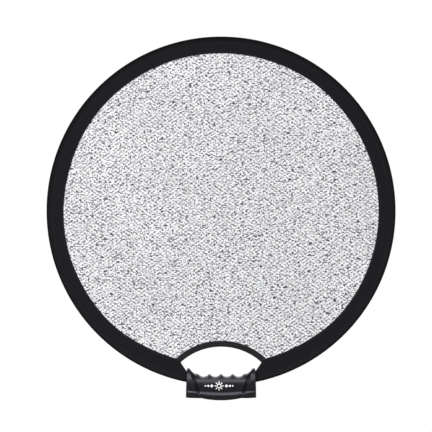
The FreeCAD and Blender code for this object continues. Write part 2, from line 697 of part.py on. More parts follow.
holes = []
screws = []
for label, x, z in boss_places:
    supports.append(rod("boss_" + label, (x, "-sizes.front_depth", z),
                        "sizes.boss_radius", "sizes.front_depth + sizes.back_depth"))
    tip = "sizes.screw_seat - sizes.screw_length"
    top = "sizes.screw_seat + sizes.screw_head_thick"
    holes.append(rod("bore_" + label, (x, tip + " - sizes.screw_gap", z),
                     "sizes.screw_radius + sizes.screw_gap",
                     "sizes.screw_length + 2 * sizes.screw_gap"))
    holes.append(rod("counterbore_" + label, (x, "sizes.screw_seat", z),
                     "sizes.screw_head_radius + sizes.screw_gap", "2 * sizes.back_depth"))
    shank = rod("screw_shank_" + label, (x, tip, z), "sizes.screw_radius",
                "sizes.screw_length + sizes.screw_head_thick / 2")
    head = rod("screw_head_" + label, (x, "sizes.screw_seat", z),
               "sizes.screw_head_radius", "sizes.screw_head_thick")
    drive = rod("screw_drive_" + label, (x, top + " - sizes.drive_deep", z),
                "sizes.drive_radius", "2 * sizes.drive_deep")
    solid = fuse("screw_solid_" + label, [shank, head])
    screws.append(cut("screw_" + label, solid, drive))
grip_screws = group("grip_screws", screws)
support_block = fuse("supports", supports)

# The band's channel through the ribs and cheeks, and the mouths where the rim comes in
CHANNEL_LOW = "worked.hoop_inner - sizes.channel_gap"
CHANNEL_HIGH = "worked.hoop_outer + sizes.channel_gap"
CHANNEL_SIDE = "(worked.hoop_half + sizes.channel_gap)"
channel = ring("channel", [[
    ("-" + CHANNEL_SIDE, CHANNEL_LOW),
    (CHANNEL_SIDE, CHANNEL_LOW),
    (CHANNEL_SIDE, CHANNEL_HIGH),
    ("-" + CHANNEL_SIDE, CHANNEL_HIGH),
]], "worked.disc_z", "90", at_bottom=True)
MOUTH_LEAF = "(worked.leaf_outer_y + sizes.mouth_gap)"
MOUTH_BEAD = "(worked.bead_outer_y + sizes.mouth_gap)"
mouth_ring = ring("mouth_ring", [[
    ("-" + MOUTH_LEAF, "worked.binding_inner - sizes.mouth_gap"),
    (MOUTH_LEAF, "worked.binding_inner - sizes.mouth_gap"),
    (MOUTH_LEAF, "worked.bead_foot - sizes.mouth_gap"),
    (MOUTH_BEAD, "worked.bead_shoulder - sizes.mouth_gap"),
    (MOUTH_BEAD, "sizes.disc_radius + sizes.mouth_gap"),
    ("-" + MOUTH_BEAD, "sizes.disc_radius + sizes.mouth_gap"),
    ("-" + MOUTH_BEAD, "worked.bead_shoulder - sizes.mouth_gap"),
    ("-" + MOUTH_LEAF, "worked.bead_foot - sizes.mouth_gap"),
]], "worked.disc_z", "90", at_bottom=True)
hollows = [channel]
for side, sign in SIDES:
    outboard = end_region("mouth_region_" + side, sign, "- sizes.mouth_gap")
    hollows.append(common("mouth_" + side, mouth_ring, outboard))

shells = []
for name, profile, cavity in (("grip_front_shell", front_profile, front_cavity),
                              ("grip_back_shell", back_profile, back_cavity)):
    blank = common(name + "_blank", grip_outline, profile)
    room = cut(name + "_room", cavity, support_block)
    removed = fuse(name + "_removed", [room] + hollows + holes)
    shells.append(cut(name, blank, removed))

# ---------------------------------------------------------------------------------------------
# Check and write

NODES = shells + [grip_screws, hoop_ferrule, hoop_upper] + hoop_sides
NODES += [binding_upper] + binding_sides + list(silver_panels) + list(white_panels)
NODES += [opening_binding, opening_seam, rim_end_seams, corner_bartacks] + seams


def check(objects, nodes):
    """Stop if any object of the document failed, or any node's shape is empty or invalid."""
    for item in objects:
        faults = [state for state in item.State if state in ("Invalid", "Error")]
        if faults:
            raise RuntimeError("%s is %s" % (item.Name, ", ".join(faults)))
    for node in nodes:
        if node.Shape.isNull() or not node.Shape.isValid() or not node.Shape.Solids:
            raise RuntimeError("%s has no sound solid" % node.Label)


doc.recompute()
check(doc.Objects, NODES)
os.makedirs("parts", exist_ok=True)
for node in NODES:
    node.Shape.exportStep(os.path.join("parts", node.Label + ".step"))
    extent = node.Shape.BoundBox
    print("%-26s %d solids %10.1f mm3  x %.1f..%.1f  y %.2f..%.2f  z %.1f..%.1f" % (
        node.Label, len(node.Shape.Solids), node.Shape.Volume, extent.XMin, extent.XMax,
        extent.YMin, extent.YMax, extent.ZMin, extent.ZMax))
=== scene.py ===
"""The looks of a collapsible reflector disc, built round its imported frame.

A hoop of spring steel stretches a silver panel and a white one.  A woven binding wraps the hoop,
a tape binds the opening for the fingers, and a moulded grip of two shells closes on the hoop.
Sizes are metres unless a name says otherwise.  +Z points up the disc and -Y is the silver side.
"""
from __future__ import annotations

import json
import logging
import math
from dataclasses import dataclass, field
from enum import Enum
from typing import Callable, Iterable

import bmesh
import bpy
from mathutils import Matrix, Vector, noise
from mathutils.kdtree import KDTree

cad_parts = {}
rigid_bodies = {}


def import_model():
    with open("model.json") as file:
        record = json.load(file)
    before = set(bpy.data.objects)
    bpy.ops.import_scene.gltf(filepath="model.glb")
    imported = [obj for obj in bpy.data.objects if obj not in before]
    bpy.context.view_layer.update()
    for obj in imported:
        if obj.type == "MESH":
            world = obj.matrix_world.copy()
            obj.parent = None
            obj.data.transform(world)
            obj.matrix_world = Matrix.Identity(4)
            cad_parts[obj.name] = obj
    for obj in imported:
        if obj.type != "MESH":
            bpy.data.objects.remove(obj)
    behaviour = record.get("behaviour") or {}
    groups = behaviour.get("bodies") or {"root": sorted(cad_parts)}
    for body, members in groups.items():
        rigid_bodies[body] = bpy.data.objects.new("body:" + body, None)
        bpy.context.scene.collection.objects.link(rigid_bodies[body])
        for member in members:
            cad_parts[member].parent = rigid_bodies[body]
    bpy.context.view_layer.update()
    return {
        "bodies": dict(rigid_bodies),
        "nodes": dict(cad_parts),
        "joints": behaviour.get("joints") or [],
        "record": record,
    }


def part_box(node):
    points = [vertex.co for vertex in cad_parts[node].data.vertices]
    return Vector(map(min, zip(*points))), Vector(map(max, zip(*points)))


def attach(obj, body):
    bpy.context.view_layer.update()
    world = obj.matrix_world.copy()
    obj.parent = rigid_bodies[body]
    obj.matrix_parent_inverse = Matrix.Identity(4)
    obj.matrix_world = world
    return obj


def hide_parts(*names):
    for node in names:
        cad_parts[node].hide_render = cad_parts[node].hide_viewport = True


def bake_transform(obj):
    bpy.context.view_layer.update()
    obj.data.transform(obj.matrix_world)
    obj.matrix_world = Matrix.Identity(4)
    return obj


LOG = logging.getLogger("reflector")
MM = 0.001


# ------------------------------------------------------------------------------------- nodes


class Graph:
    """A node tree, with short calls that add nodes and join them."""

    def __init__(self, tree: bpy.types.NodeTree) -> None:
        """Wrap a tree and empty it.

        Args:
            tree: the tree of a material, a world or a node group.
        """
        self.tree = tree
        tree.nodes.clear()

    def add(self, kind: str, **settings: object) -> bpy.types.Node:
        """Add one node.

        Args:
            kind: the node's type, without its "ShaderNode" prefix if it has one.
            **settings: properties of the node.

        Returns:
            The new node.
        """
        name = kind if kind.startswith("Node") else "ShaderNode" + kind
        node = self.tree.nodes.new(name)
        for key, value in settings.items():
            setattr(node, key, value)
        return node

    def feed(self, socket: bpy.types.NodeSocket, value: object) -> None:
        """Join an output to an input, or set the input to a plain value.

        Args:
            socket: the input.
            value: a socket, or plain numbers.
        """
        if isinstance(value, bpy.types.NodeSocket):
            self.tree.links.new(value, socket)
        else:
            socket.default_value = value

    def math(self, operation: str, *terms: object, clamp: bool = False) -> bpy.types.NodeSocket:
        """Add a Math node.

        Args:
            operation: the node's operation.
            *terms: up to three sockets or numbers.
            clamp: whether the result is held between 0 and 1.

        Returns:
            The node's output.
        """
        node = self.add("Math", operation=operation, use_clamp=clamp)
        for socket, term in zip(node.inputs, terms):
            self.feed(socket, term)
        return node.outputs[0]

    def stretch(self, vector: object, scale: tuple[float, float, float]) -> bpy.types.NodeSocket:
        """Scale a vector's three parts.

        Args:
            vector: the vector.
            scale: the factor of each part.

        Returns:
            The scaled vector.
        """
        node = self.add("VectorMath", operation="MULTIPLY")
        self.feed(node.inputs[0], vector)
        node.inputs[1].default_value = scale
        return node.outputs[0]

    def noise(self, vector: object, scale: float, detail: float = 2.0,
              rough: float = 0.5, warp: float = 0.0) -> bpy.types.NodeSocket:
        """Add a Noise Texture.

        Args:
            vector: the coordinates.
            scale: cells to the metre.
            detail: its octaves.
            rough: how strong the fine octaves are.
            warp: its distortion.

        Returns:
            The value, from 0 to 1.
        """
        node = self.add("TexNoise")
        self.feed(node.inputs["Vector"], vector)
        node.inputs["Scale"].default_value = scale
        node.inputs["Detail"].default_value = detail
        node.inputs["Roughness"].default_value = rough
        node.inputs["Distortion"].default_value = warp
        return node.outputs[0]

    def ramp(self, value: object, low: float, high: float, bottom: float = 0.0,
             top: float = 1.0) -> bpy.types.NodeSocket:
        """Map a value smoothly from the span low..high to bottom..top.

        Args:
            value: the value to map.
            low: where its span starts.
            high: where its span ends.
            bottom: the result at the span's start.
            top: the result at the span's end.

        Returns:
            The mapped value.
        """
        node = self.add("MapRange", interpolation_type="SMOOTHSTEP")
        for socket, number in zip(node.inputs, (value, low, high, bottom, top)):
            self.feed(socket, number)
        return node.outputs[0]

    def mix(self, share: object, first: object, second: object) -> bpy.types.NodeSocket:
        """Mix two colours.

        Args:
            share: how much of the second colour shows, from 0 to 1.
            first: the first colour, a socket or four numbers.
            second: the second colour.

        Returns:
            The mixed colour.
        """
        node = self.add("Mix", data_type="RGBA", clamp_factor=True)
        self.feed(node.inputs[0], share)
        self.feed(node.inputs[6], first)
        self.feed(node.inputs[7], second)
        return node.outputs[2]

    def tone(self, colour: object, gain: object) -> bpy.types.NodeSocket:
        """Multiply a colour by a value.

        Args:
            colour: the colour, a socket or three numbers.
            gain: the factor.

        Returns:
            The changed colour.
        """
        node = self.add("VectorMath", operation="SCALE")
        self.feed(node.inputs[0], colour)
        self.feed(node.inputs["Scale"], gain)
        return node.outputs[0]


def group_tree(name: str, inputs: dict[str, tuple[str, object]],
               outputs: dict[str, str]) -> tuple[Graph, bpy.types.Node, bpy.types.Node]:
    """Start a shader node group with named sockets.

    Args:
        name: the group's name.
        inputs: each input's name, with its socket type and its usual value.
        outputs: each output's name, with its socket type.

    Returns:
        The graph, its group input node and its group output node.
    """
    tree = bpy.data.node_groups.new(name, "ShaderNodeTree")
    for label, (kind, usual) in inputs.items():
        socket = tree.interface.new_socket(label, in_out="INPUT", socket_type=kind)
        if usual is not None:
            socket.default_value = usual
    for label, kind in outputs.items():
        tree.interface.new_socket(label, in_out="OUTPUT", socket_type=kind)
    graph = Graph(tree)
    return graph, graph.add("NodeGroupInput"), graph.add("NodeGroupOutput")


VECTOR = "NodeSocketVector"
NUMBER = "NodeSocketFloat"


def weave_group() -> bpy.types.NodeTree:
    """A plain weave: threads that pass over and under each other in turn.

    Returns:
        The group.  Its Height is the threads' relief, its Gap the dark between them and its
        Yarn how each thread's shade varies.
    """
    name = "plain weave"
    if name in bpy.data.node_groups:
        return bpy.data.node_groups[name]
    graph, source, sink = group_tree(
        name, {"Vector": (VECTOR, None), "Threads": (NUMBER, 2000.0), "Slub": (NUMBER, 0.3)},
        {"Height": NUMBER, "Gap": NUMBER, "Yarn": NUMBER})
    parts = graph.add("SeparateXYZ")
    graph.feed(parts.inputs[0], source.outputs["Vector"])
    wobble = graph.noise(source.outputs["Vector"], 160.0, 2.0)
    drift = graph.math("MULTIPLY", wobble, source.outputs["Slub"])
    across = graph.math("ADD", graph.math("MULTIPLY", parts.outputs[0],
                                          source.outputs["Threads"]), drift)
    along = graph.math("ADD", graph.math("MULTIPLY", parts.outputs[1],
                                         source.outputs["Threads"]), drift)
    warp = graph.math("ABSOLUTE", graph.math("SINE", graph.math("MULTIPLY", across, math.pi)))
    weft = graph.math("ABSOLUTE", graph.math("SINE", graph.math("MULTIPLY", along, math.pi)))
    square = graph.math("ADD", graph.math("FLOOR", across), graph.math("FLOOR", along))
    over = graph.math("MULTIPLY", graph.math("FRACT", graph.math("MULTIPLY", square, 0.5)), 2.0)
    under = graph.math("SUBTRACT", 1.0, over)
    top = graph.math("ADD", graph.math("MULTIPLY", warp, over),
                     graph.math("MULTIPLY", weft, under))
    graph.feed(sink.inputs["Height"], top)
    graph.feed(sink.inputs["Gap"], graph.math("SUBTRACT", 1.0, graph.math(
        "MAXIMUM", warp, weft), clamp=True))
    yarn = graph.noise(graph.stretch(source.outputs["Vector"], (1.0, 0.08, 1.0)), 900.0, 3.0)
    graph.feed(sink.inputs["Yarn"], yarn)
    return graph.tree


def crinkle_group() -> bpy.types.NodeTree:
    """Crinkled metallised cloth: short dashes, in rough rows, with painted shade where they face
    away from the light and painted glints on facets that catch it.

    Returns:
        The group.  Height is the relief, Painted Shade the painted shade of dark dashes and
        pits,
        Painted Glint the painted glints of bright facets and Cloud a slow random change of tone.
    """
    name = "metal crinkle"
    if name in bpy.data.node_groups:
        return bpy.data.node_groups[name]
    graph, source, sink = group_tree(
        name, {"Vector": (VECTOR, None), "Column": (NUMBER, 112.0), "Row": (NUMBER, 157.0)},
        {"Height": NUMBER, "Painted Shade": NUMBER, "Painted Glint": NUMBER, "Cloud": NUMBER})
    place = source.outputs["Vector"]
    parts = graph.add("SeparateXYZ")
    graph.feed(parts.inputs[0], place)
    drift = graph.math("MULTIPLY", graph.noise(place, 45.0, 2.0), 2.6)
    column = graph.math("COSINE", graph.math("MULTIPLY_ADD", graph.math(
        "MULTIPLY", parts.outputs[0], source.outputs["Column"]), math.tau, drift))
    row = graph.math("COSINE", graph.math("MULTIPLY_ADD", graph.math(
        "MULTIPLY", parts.outputs[1], source.outputs["Row"]), math.tau, drift))
    knit = graph.math("MULTIPLY", column, row)
    flat = graph.stretch(place, (0.62, 1.0, 1.0))
    coarse = graph.noise(flat, 470.0, 1.5, 0.6, 0.6)
    fine = graph.noise(graph.stretch(place, (0.7, 1.0, 1.0)), 820.0, 1.0, 0.5, 0.4)
    blend = graph.math("MULTIPLY_ADD", coarse, 0.62, graph.math("MULTIPLY", fine, 0.38))
    relief = graph.math("MULTIPLY_ADD", knit, 0.06, blend)
    graph.feed(sink.inputs["Height"], relief)
    # painted shade: dark dashes where the crinkles face away from the light, and dark pits,
    # darken the colour
    pit_shade = graph.ramp(graph.noise(graph.stretch(place, (0.5, 1.0, 1.0)), 330.0, 1.0, 0.5, 0.6),
                      0.39, 0.335)
    graph.feed(sink.inputs["Painted Shade"], graph.math("MAXIMUM", graph.ramp(relief, 0.47, 0.41), pit_shade))
    # painted glint: the raised facets are coloured bright, as where they catch the light
    graph.feed(sink.inputs["Painted Glint"], graph.ramp(relief, 0.455, 0.56))
    graph.feed(sink.inputs["Cloud"], graph.noise(place, 9.0, 3.0))
    return graph.tree


def grain_group() -> bpy.types.NodeTree:
    """Fine spark-eroded grain of moulded plastic, with faint handling marks.

    Returns:
        The group.  Height is the grain, and Rub where hands have polished it.
    """
    name = "moulded grain"
    if name in bpy.data.node_groups:
        return bpy.data.node_groups[name]
    graph, source, sink = group_tree(name, {"Vector": (VECTOR, None)},
                                     {"Height": NUMBER, "Rub": NUMBER})
    place = source.outputs["Vector"]
    graph.feed(sink.inputs["Height"], graph.noise(place, 2600.0, 3.0, 0.65))
    graph.feed(sink.inputs["Rub"], graph.ramp(graph.noise(place, 55.0, 4.0, 0.6), 0.38, 0.7))
    return graph.tree


def dust_group() -> bpy.types.NodeTree:
    """Specks of dust and lint.

    Returns:
        The group.  Its Speck is 1 on a speck.
    """
    name = "dust"
    if name in bpy.data.node_groups:
        return bpy.data.node_groups[name]
    graph, source, sink = group_tree(
        name, {"Vector": (VECTOR, None), "Amount": (NUMBER, 0.5)}, {"Speck": NUMBER})
    specks = graph.ramp(graph.noise(source.outputs["Vector"], 1500.0, 1.0), 0.74, 0.8)
    patches = graph.ramp(graph.noise(source.outputs["Vector"], 24.0, 3.0), 0.45, 0.75)
    graph.feed(sink.inputs["Speck"], graph.math(
        "MULTIPLY", graph.math("MULTIPLY", specks, patches), source.outputs["Amount"]))
    return graph.tree


def wear_group() -> bpy.types.NodeTree:
    """Wear along convex edges, broken up by noise.

    Returns:
        The group.  Its Edge is 1 where an edge is worn.
    """
    name = "edge wear"
    if name in bpy.data.node_groups:
        return bpy.data.node_groups[name]
    graph, source, sink = group_tree(
        name, {"Vector": (VECTOR, None), "Reach": (NUMBER, 0.5)}, {"Edge": NUMBER})
    shape = graph.add("NewGeometry")
    ridge = graph.ramp(shape.outputs["Pointiness"], 0.52, 0.60)
    broken = graph.ramp(graph.noise(source.outputs["Vector"], 300.0, 4.0), 0.3, 0.7)
    graph.feed(sink.inputs["Edge"], graph.math(
        "MULTIPLY", graph.math("MULTIPLY", ridge, broken), source.outputs["Reach"]))
    return graph.tree


# ---------------------------------------------------------------------------------- finishes


class Coordinates(Enum):
    """What a finish's pattern follows."""

    CLOTH = "UV"
    SOLID = "Object"


@dataclass(frozen=True)
class Finish:
    """What every finish has: a name, a colour and how rough it is."""

    name: str
    colour: tuple[float, float, float]
    rough: float
    specular: float = 0.5
    follows: Coordinates = Coordinates.SOLID

    def material(self) -> bpy.types.Material:
        """Make the finish's material once and return it.

        Returns:
            The material.
        """
        found = bpy.data.materials.get(self.name)
        if found:
            return found
        made = bpy.data.materials.new(self.name)
        made.use_nodes = True
        graph = Graph(made.node_tree)
        sink = graph.add("OutputMaterial")
        shader = graph.add("BsdfPrincipled")
        graph.feed(sink.inputs["Surface"], shader.outputs[0])
        shader.inputs["Base Color"].default_value = (*self.colour, 1.0)
        shader.inputs["Roughness"].default_value = self.rough
        shader.inputs["Specular IOR Level"].default_value = self.specular
        place = graph.add("TexCoord").outputs[self.follows.value]
        self.dress(graph, shader, place)
        return made

    def dress(self, graph: Graph, shader: bpy.types.Node, place: bpy.types.NodeSocket) -> None:
        """Add the finish's own detail.

        Args:
            graph: the material's tree.
            shader: its Principled node.
            place: the coordinates that its patterns follow.
        """

    def group(self, graph: Graph, tree: bpy.types.NodeTree, place: bpy.types.NodeSocket,
              **values: float) -> bpy.types.Node:
        """Place a shared group and give it its coordinates and values.

        Args:
            graph: the material's tree.
            tree: the group's own tree.
            place: the coordinates that its patterns follow.
            **values: values for its other inputs.

        Returns:
            The group's node.
        """
        node = graph.add("Group")
        node.node_tree = tree
        graph.feed(node.inputs["Vector"], place)
        for label, value in values.items():
            node.inputs[label].default_value = value
        return node

    def bump(self, graph: Graph, shader: bpy.types.Node, height: bpy.types.NodeSocket,
             depth: float, strength: float) -> None:
        """Drive the shader's normal by a height map of a depth in metres.

        Args:
            graph: the material's tree.
            shader: its Principled node.
            height: the height map.
            depth: its depth.
            strength: how much of it shows, from 0 to 1.
        """
        node = graph.add("Bump")
        node.inputs["Strength"].default_value = strength
        node.inputs["Distance"].default_value = depth
        graph.feed(node.inputs["Height"], height)
        graph.feed(shader.inputs["Normal"], node.outputs[0])


@dataclass(frozen=True)
class SilverCloth(Finish):
    """Metallised cloth whose crinkles carry painted shade as dark dashes and painted glints as
    bright facets.
    """

    # the colours of the painted shade and of the painted glints
    dark: tuple[float, float, float] = (0.03, 0.03, 0.036)
    bright: tuple[float, float, float] = (0.97, 0.97, 0.99)

    def dress(self, graph: Graph, shader: bpy.types.Node, place: bpy.types.NodeSocket) -> None:
        """Paint shade and glints into the crinkles' colour, and let the bright facets be
        smoother.

        Args:
            graph: the material's tree.
            shader: its Principled node.
            place: the coordinates that its patterns follow.
        """
        crinkle = self.group(graph, crinkle_group(), place)
        cloud = graph.ramp(crinkle.outputs["Cloud"], 0.25, 0.75, 0.95, 1.04)
        # painted glints, then painted shade, over the cloth's own colour
        body = graph.mix(crinkle.outputs["Painted Glint"], (*self.colour, 1.0), (*self.bright, 1.0))
        with_painted_light = graph.mix(crinkle.outputs["Painted Shade"], body, (*self.dark, 1.0))
        graph.feed(shader.inputs["Base Color"], graph.tone(with_painted_light, cloud))
        graph.feed(shader.inputs["Roughness"], graph.ramp(
            crinkle.outputs["Height"], 0.35, 0.65, self.rough + 0.14, self.rough - 0.1))
        shader.inputs["Metallic"].default_value = 0.35
        self.bump(graph, shader, crinkle.outputs["Height"], 0.5 * MM, 0.55)


@dataclass(frozen=True)
class WovenCloth(Finish):
    """Plain woven cloth or tape."""

    threads: float = 2200.0
    relief: float = 0.12 * MM
    dusty: float = 0.15
    sheen: float = 0.0
    # where painted shade starts across a tape that wraps round an edge; 0 for none
    painted_edge_shade_from: float = 0.0

    def dress(self, graph: Graph, shader: bpy.types.Node, place: bpy.types.NodeSocket) -> None:
        """Darken the weave's gaps, vary its yarns, paint shade on a wrapped edge and scatter a
        little dust.

        Args:
            graph: the material's tree.
            shader: its Principled node.
            place: the coordinates that its patterns follow.
        """
        weave = self.group(graph, weave_group(), place, Threads=self.threads)
        dust = self.group(graph, dust_group(), place, Amount=self.dusty)
        shade = graph.math("MULTIPLY_ADD", weave.outputs["Gap"], -0.45, 1.0)
        yarn = graph.ramp(weave.outputs["Yarn"], 0.2, 0.8, 0.9, 1.1)
        woven = graph.tone(graph.tone((*self.colour,), shade), yarn)
        # painted shade: the tape darkens by up to 60% over the 3 mm where it wraps round the
        # hoop and turns away from the light
        if self.painted_edge_shade_from:
            parts = graph.add("SeparateXYZ")
            graph.feed(parts.inputs[0], place)
            painted_edge_shade = graph.ramp(parts.outputs[1], self.painted_edge_shade_from, self.painted_edge_shade_from + 3.0 * MM)
            woven = graph.tone(woven, graph.math("MULTIPLY_ADD", painted_edge_shade, -0.6, 1.0))
        graph.feed(shader.inputs["Base Color"], graph.mix(
            dust.outputs["Speck"], woven, (0.32, 0.31, 0.30, 1.0)))
        graph.feed(shader.inputs["Roughness"], graph.ramp(
            weave.outputs["Yarn"], 0.2, 0.8, self.rough - 0.05, min(1.0, self.rough + 0.05)))
        shader.inputs["Sheen Weight"].default_value = self.sheen
        self.bump(graph, shader, weave.outputs["Height"], self.relief, 0.6)


@dataclass(frozen=True)
class MouldedPlastic(Finish):
    """Satin moulded plastic, a little polished where hands rub it."""

    def dress(self, graph: Graph, shader: bpy.types.Node, place: bpy.types.NodeSocket) -> None:
        """Add grain, rubbed patches, worn edges and dust.

        Args:
            graph: the material's tree.
            shader: its Principled node.
            place: the coordinates that its patterns follow.
        """
        grain = self.group(graph, grain_group(), place)
        wear = self.group(graph, wear_group(), place, Reach=0.35)
        dust = self.group(graph, dust_group(), place, Amount=0.25)
        worn = graph.mix(wear.outputs["Edge"], (*self.colour, 1.0),
                         (*(min(1.0, c * 2.6) for c in self.colour), 1.0))
        graph.feed(shader.inputs["Base Color"], graph.mix(
            dust.outputs["Speck"], worn, (0.25, 0.25, 0.25, 1.0)))
        graph.feed(shader.inputs["Roughness"], graph.ramp(
            grain.outputs["Rub"], 0.0, 1.0, self.rough + 0.05, self.rough - 0.06))
        shader.inputs["Specular Tint"].default_value = (0.86, 0.88, 1.0, 1.0)
        self.bump(graph, shader, grain.outputs["Height"], 0.06 * MM, 0.35)


@dataclass(frozen=True)
class Thread(Finish):
    """Twisted sewing thread."""

    def dress(self, graph: Graph, shader: bpy.types.Node, place: bpy.types.NodeSocket) -> None:
        """Vary the thread's shade along its twist.

        Args:
            graph: the material's tree.
            shader: its Principled node.
            place: the coordinates that its patterns follow.
        """
        twist = graph.noise(place, 2500.0, 2.0)
        graph.feed(shader.inputs["Base Color"], graph.tone(
            (*self.colour,), graph.ramp(twist, 0.3, 0.7, 0.7, 1.4)))
        self.bump(graph, shader, twist, 0.08 * MM, 0.6)


@dataclass(frozen=True)
class Steel(Finish):
    """Rolled, plated or blackened steel."""

    def dress(self, graph: Graph, shader: bpy.types.Node, place: bpy.types.NodeSocket) -> None:
        """Draw fine rolling lines and stain the colour a little.

        Args:
            graph: the material's tree.
            shader: its Principled node.
            place: the coordinates that its patterns follow.
        """
        lines = graph.noise(graph.stretch(place, (30.0, 900.0, 30.0)), 4.0, 3.0)
        stain = graph.noise(place, 70.0, 3.0)
        graph.feed(shader.inputs["Base Color"], graph.tone(
            (*self.colour,), graph.ramp(stain, 0.3, 0.7, 0.8, 1.15)))
        graph.feed(shader.inputs["Roughness"], graph.ramp(
            lines, 0.3, 0.7, self.rough - 0.08, self.rough + 0.1))
        shader.inputs["Metallic"].default_value = 1.0
        self.bump(graph, shader, lines, 0.02 * MM, 0.4)


@dataclass(frozen=True)
class Ink(Finish):
    """Pad-printed ink, worn thin in places."""

    def dress(self, graph: Graph, shader: bpy.types.Node, place: bpy.types.NodeSocket) -> None:
        """Let the ink thin out in small patches.

        Args:
            graph: the material's tree.
            shader: its Principled node.
            place: the coordinates that its patterns follow.
        """
        thin = graph.ramp(graph.noise(place, 700.0, 4.0), 0.3, 0.6, 0.86, 1.0)
        graph.feed(shader.inputs["Base Color"], graph.tone((*self.colour,), thin))
        self.bump(graph, shader, thin, 0.02 * MM, 0.3)


@dataclass(frozen=True)
class Paint(Finish):
    """Matt paint, faintly mottled."""

    def dress(self, graph: Graph, shader: bpy.types.Node, place: bpy.types.NodeSocket) -> None:
        """Mottle the paint, and keep it dim in the object's glossy reflections.

        Args:
            graph: the material's tree.
            shader: its Principled node.
            place: the coordinates that its patterns follow.
        """
        mottle = graph.ramp(graph.noise(place, 3.0, 4.0), 0.3, 0.7, 0.97, 1.02)
        glossy = graph.add("LightPath").outputs["Is Glossy Ray"]
        level = graph.math("MULTIPLY", mottle, graph.math("MULTIPLY_ADD", glossy, -0.75, 1.0))
        graph.feed(shader.inputs["Base Color"], graph.tone((*self.colour,), level))


SILVER = SilverCloth("silver cloth", (0.57, 0.57, 0.59), 0.42, 0.5, Coordinates.CLOTH)
WHITE = WovenCloth("white cloth", (0.76, 0.76, 0.75), 0.75, 0.3, Coordinates.CLOTH,
                   threads=1800.0, sheen=0.1)
# painted shade on the rim tape from 297.2 mm across, where it wraps round the hoop
RIM_TAPE = WovenCloth("black rim tape", (0.0088, 0.0085, 0.0106), 0.85, 0.08,
                      Coordinates.CLOTH, threads=1700.0, dusty=0.1, painted_edge_shade_from=297.2 * MM)
EDGE_TAPE = WovenCloth("black grosgrain", (0.0135, 0.0132, 0.0155), 0.8, 0.14,
                       Coordinates.CLOTH, threads=1300.0, relief=0.2 * MM, dusty=0.1)
PLASTIC = MouldedPlastic("black grip plastic", (0.0080, 0.0080, 0.0100), 0.34, 0.43)
THREAD = Thread("black thread", (0.016, 0.016, 0.018), 0.6, 0.25)
SPRING = Steel("blued spring steel", (0.23, 0.24, 0.28), 0.3)
ZINC = Steel("zinc plate", (0.62, 0.62, 0.60), 0.35)
BLACK_OXIDE = Steel("black oxide steel", (0.07, 0.07, 0.075), 0.4)
INK = Ink("white ink", (0.86, 0.86, 0.86), 0.5, 0.4)
FLOOR = Paint("pale floor", (0.36, 0.36, 0.357), 0.8, 0.1)


# ------------------------------------------------------------------------------------ pieces


def finished(name: str, bm: bmesh.types.BMesh, finish: Finish,
             smooth_angle: float = 40.0) -> bpy.types.Object:
    """Turn a bmesh into a piece at the origin, with its finish.

    Args:
        name: the piece's name.
        bm: its shape, which is freed.
        finish: its finish.
        smooth_angle: edges sharper than this many degrees stay sharp.

    Returns:
        The new object.
    """
    for face in bm.faces:
        face.smooth = True
    limit = math.radians(smooth_angle)
    for edge in bm.edges:
        if len(edge.link_faces) == 2:
            edge.smooth = edge.calc_face_angle(0.0) < limit
    mesh = bpy.data.meshes.new(name)
    bm.to_mesh(mesh)
    bm.free()
    mesh.materials.append(finish.material())
    piece = bpy.data.objects.new(name, mesh)
    bpy.context.scene.collection.objects.link(piece)
    LOG.info("%s: %d vertices, %d faces", name, len(mesh.vertices), len(mesh.polygons))
    return piece


def map_cloth(bm: bmesh.types.BMesh,
              place: Callable[[Vector, Vector], tuple[float, float]]) -> None:
    """Give every corner a UV, in metres of cloth.

    Args:
        bm: the shape.
        place: takes a corner's position and its face's normal and returns the UV.
    """
    layer = bm.loops.layers.uv.new("cloth")
    for face in bm.faces:
        for loop in face.loops:
            loop[layer].uv = place(loop.vert.co, face.normal)


def close_ends(bm: bmesh.types.BMesh) -> None:
    """Fill the two open ends of a band that runs from one side of the grip to the other.

    Args:
        bm: the shape.
    """
    for side in (-1, 1):
        edges = [edge for edge in bm.edges
                 if edge.is_boundary and side * edge.verts[0].co.x > 0]
        bmesh.ops.triangle_fill(bm, use_beauty=True, edges=edges)


def smooth_step(value: float) -> float:
    """Ease a value from 0 to 1, held outside that span."""
    held = min(1.0, max(0.0, value))
    return held * held * (3.0 - 2.0 * held)


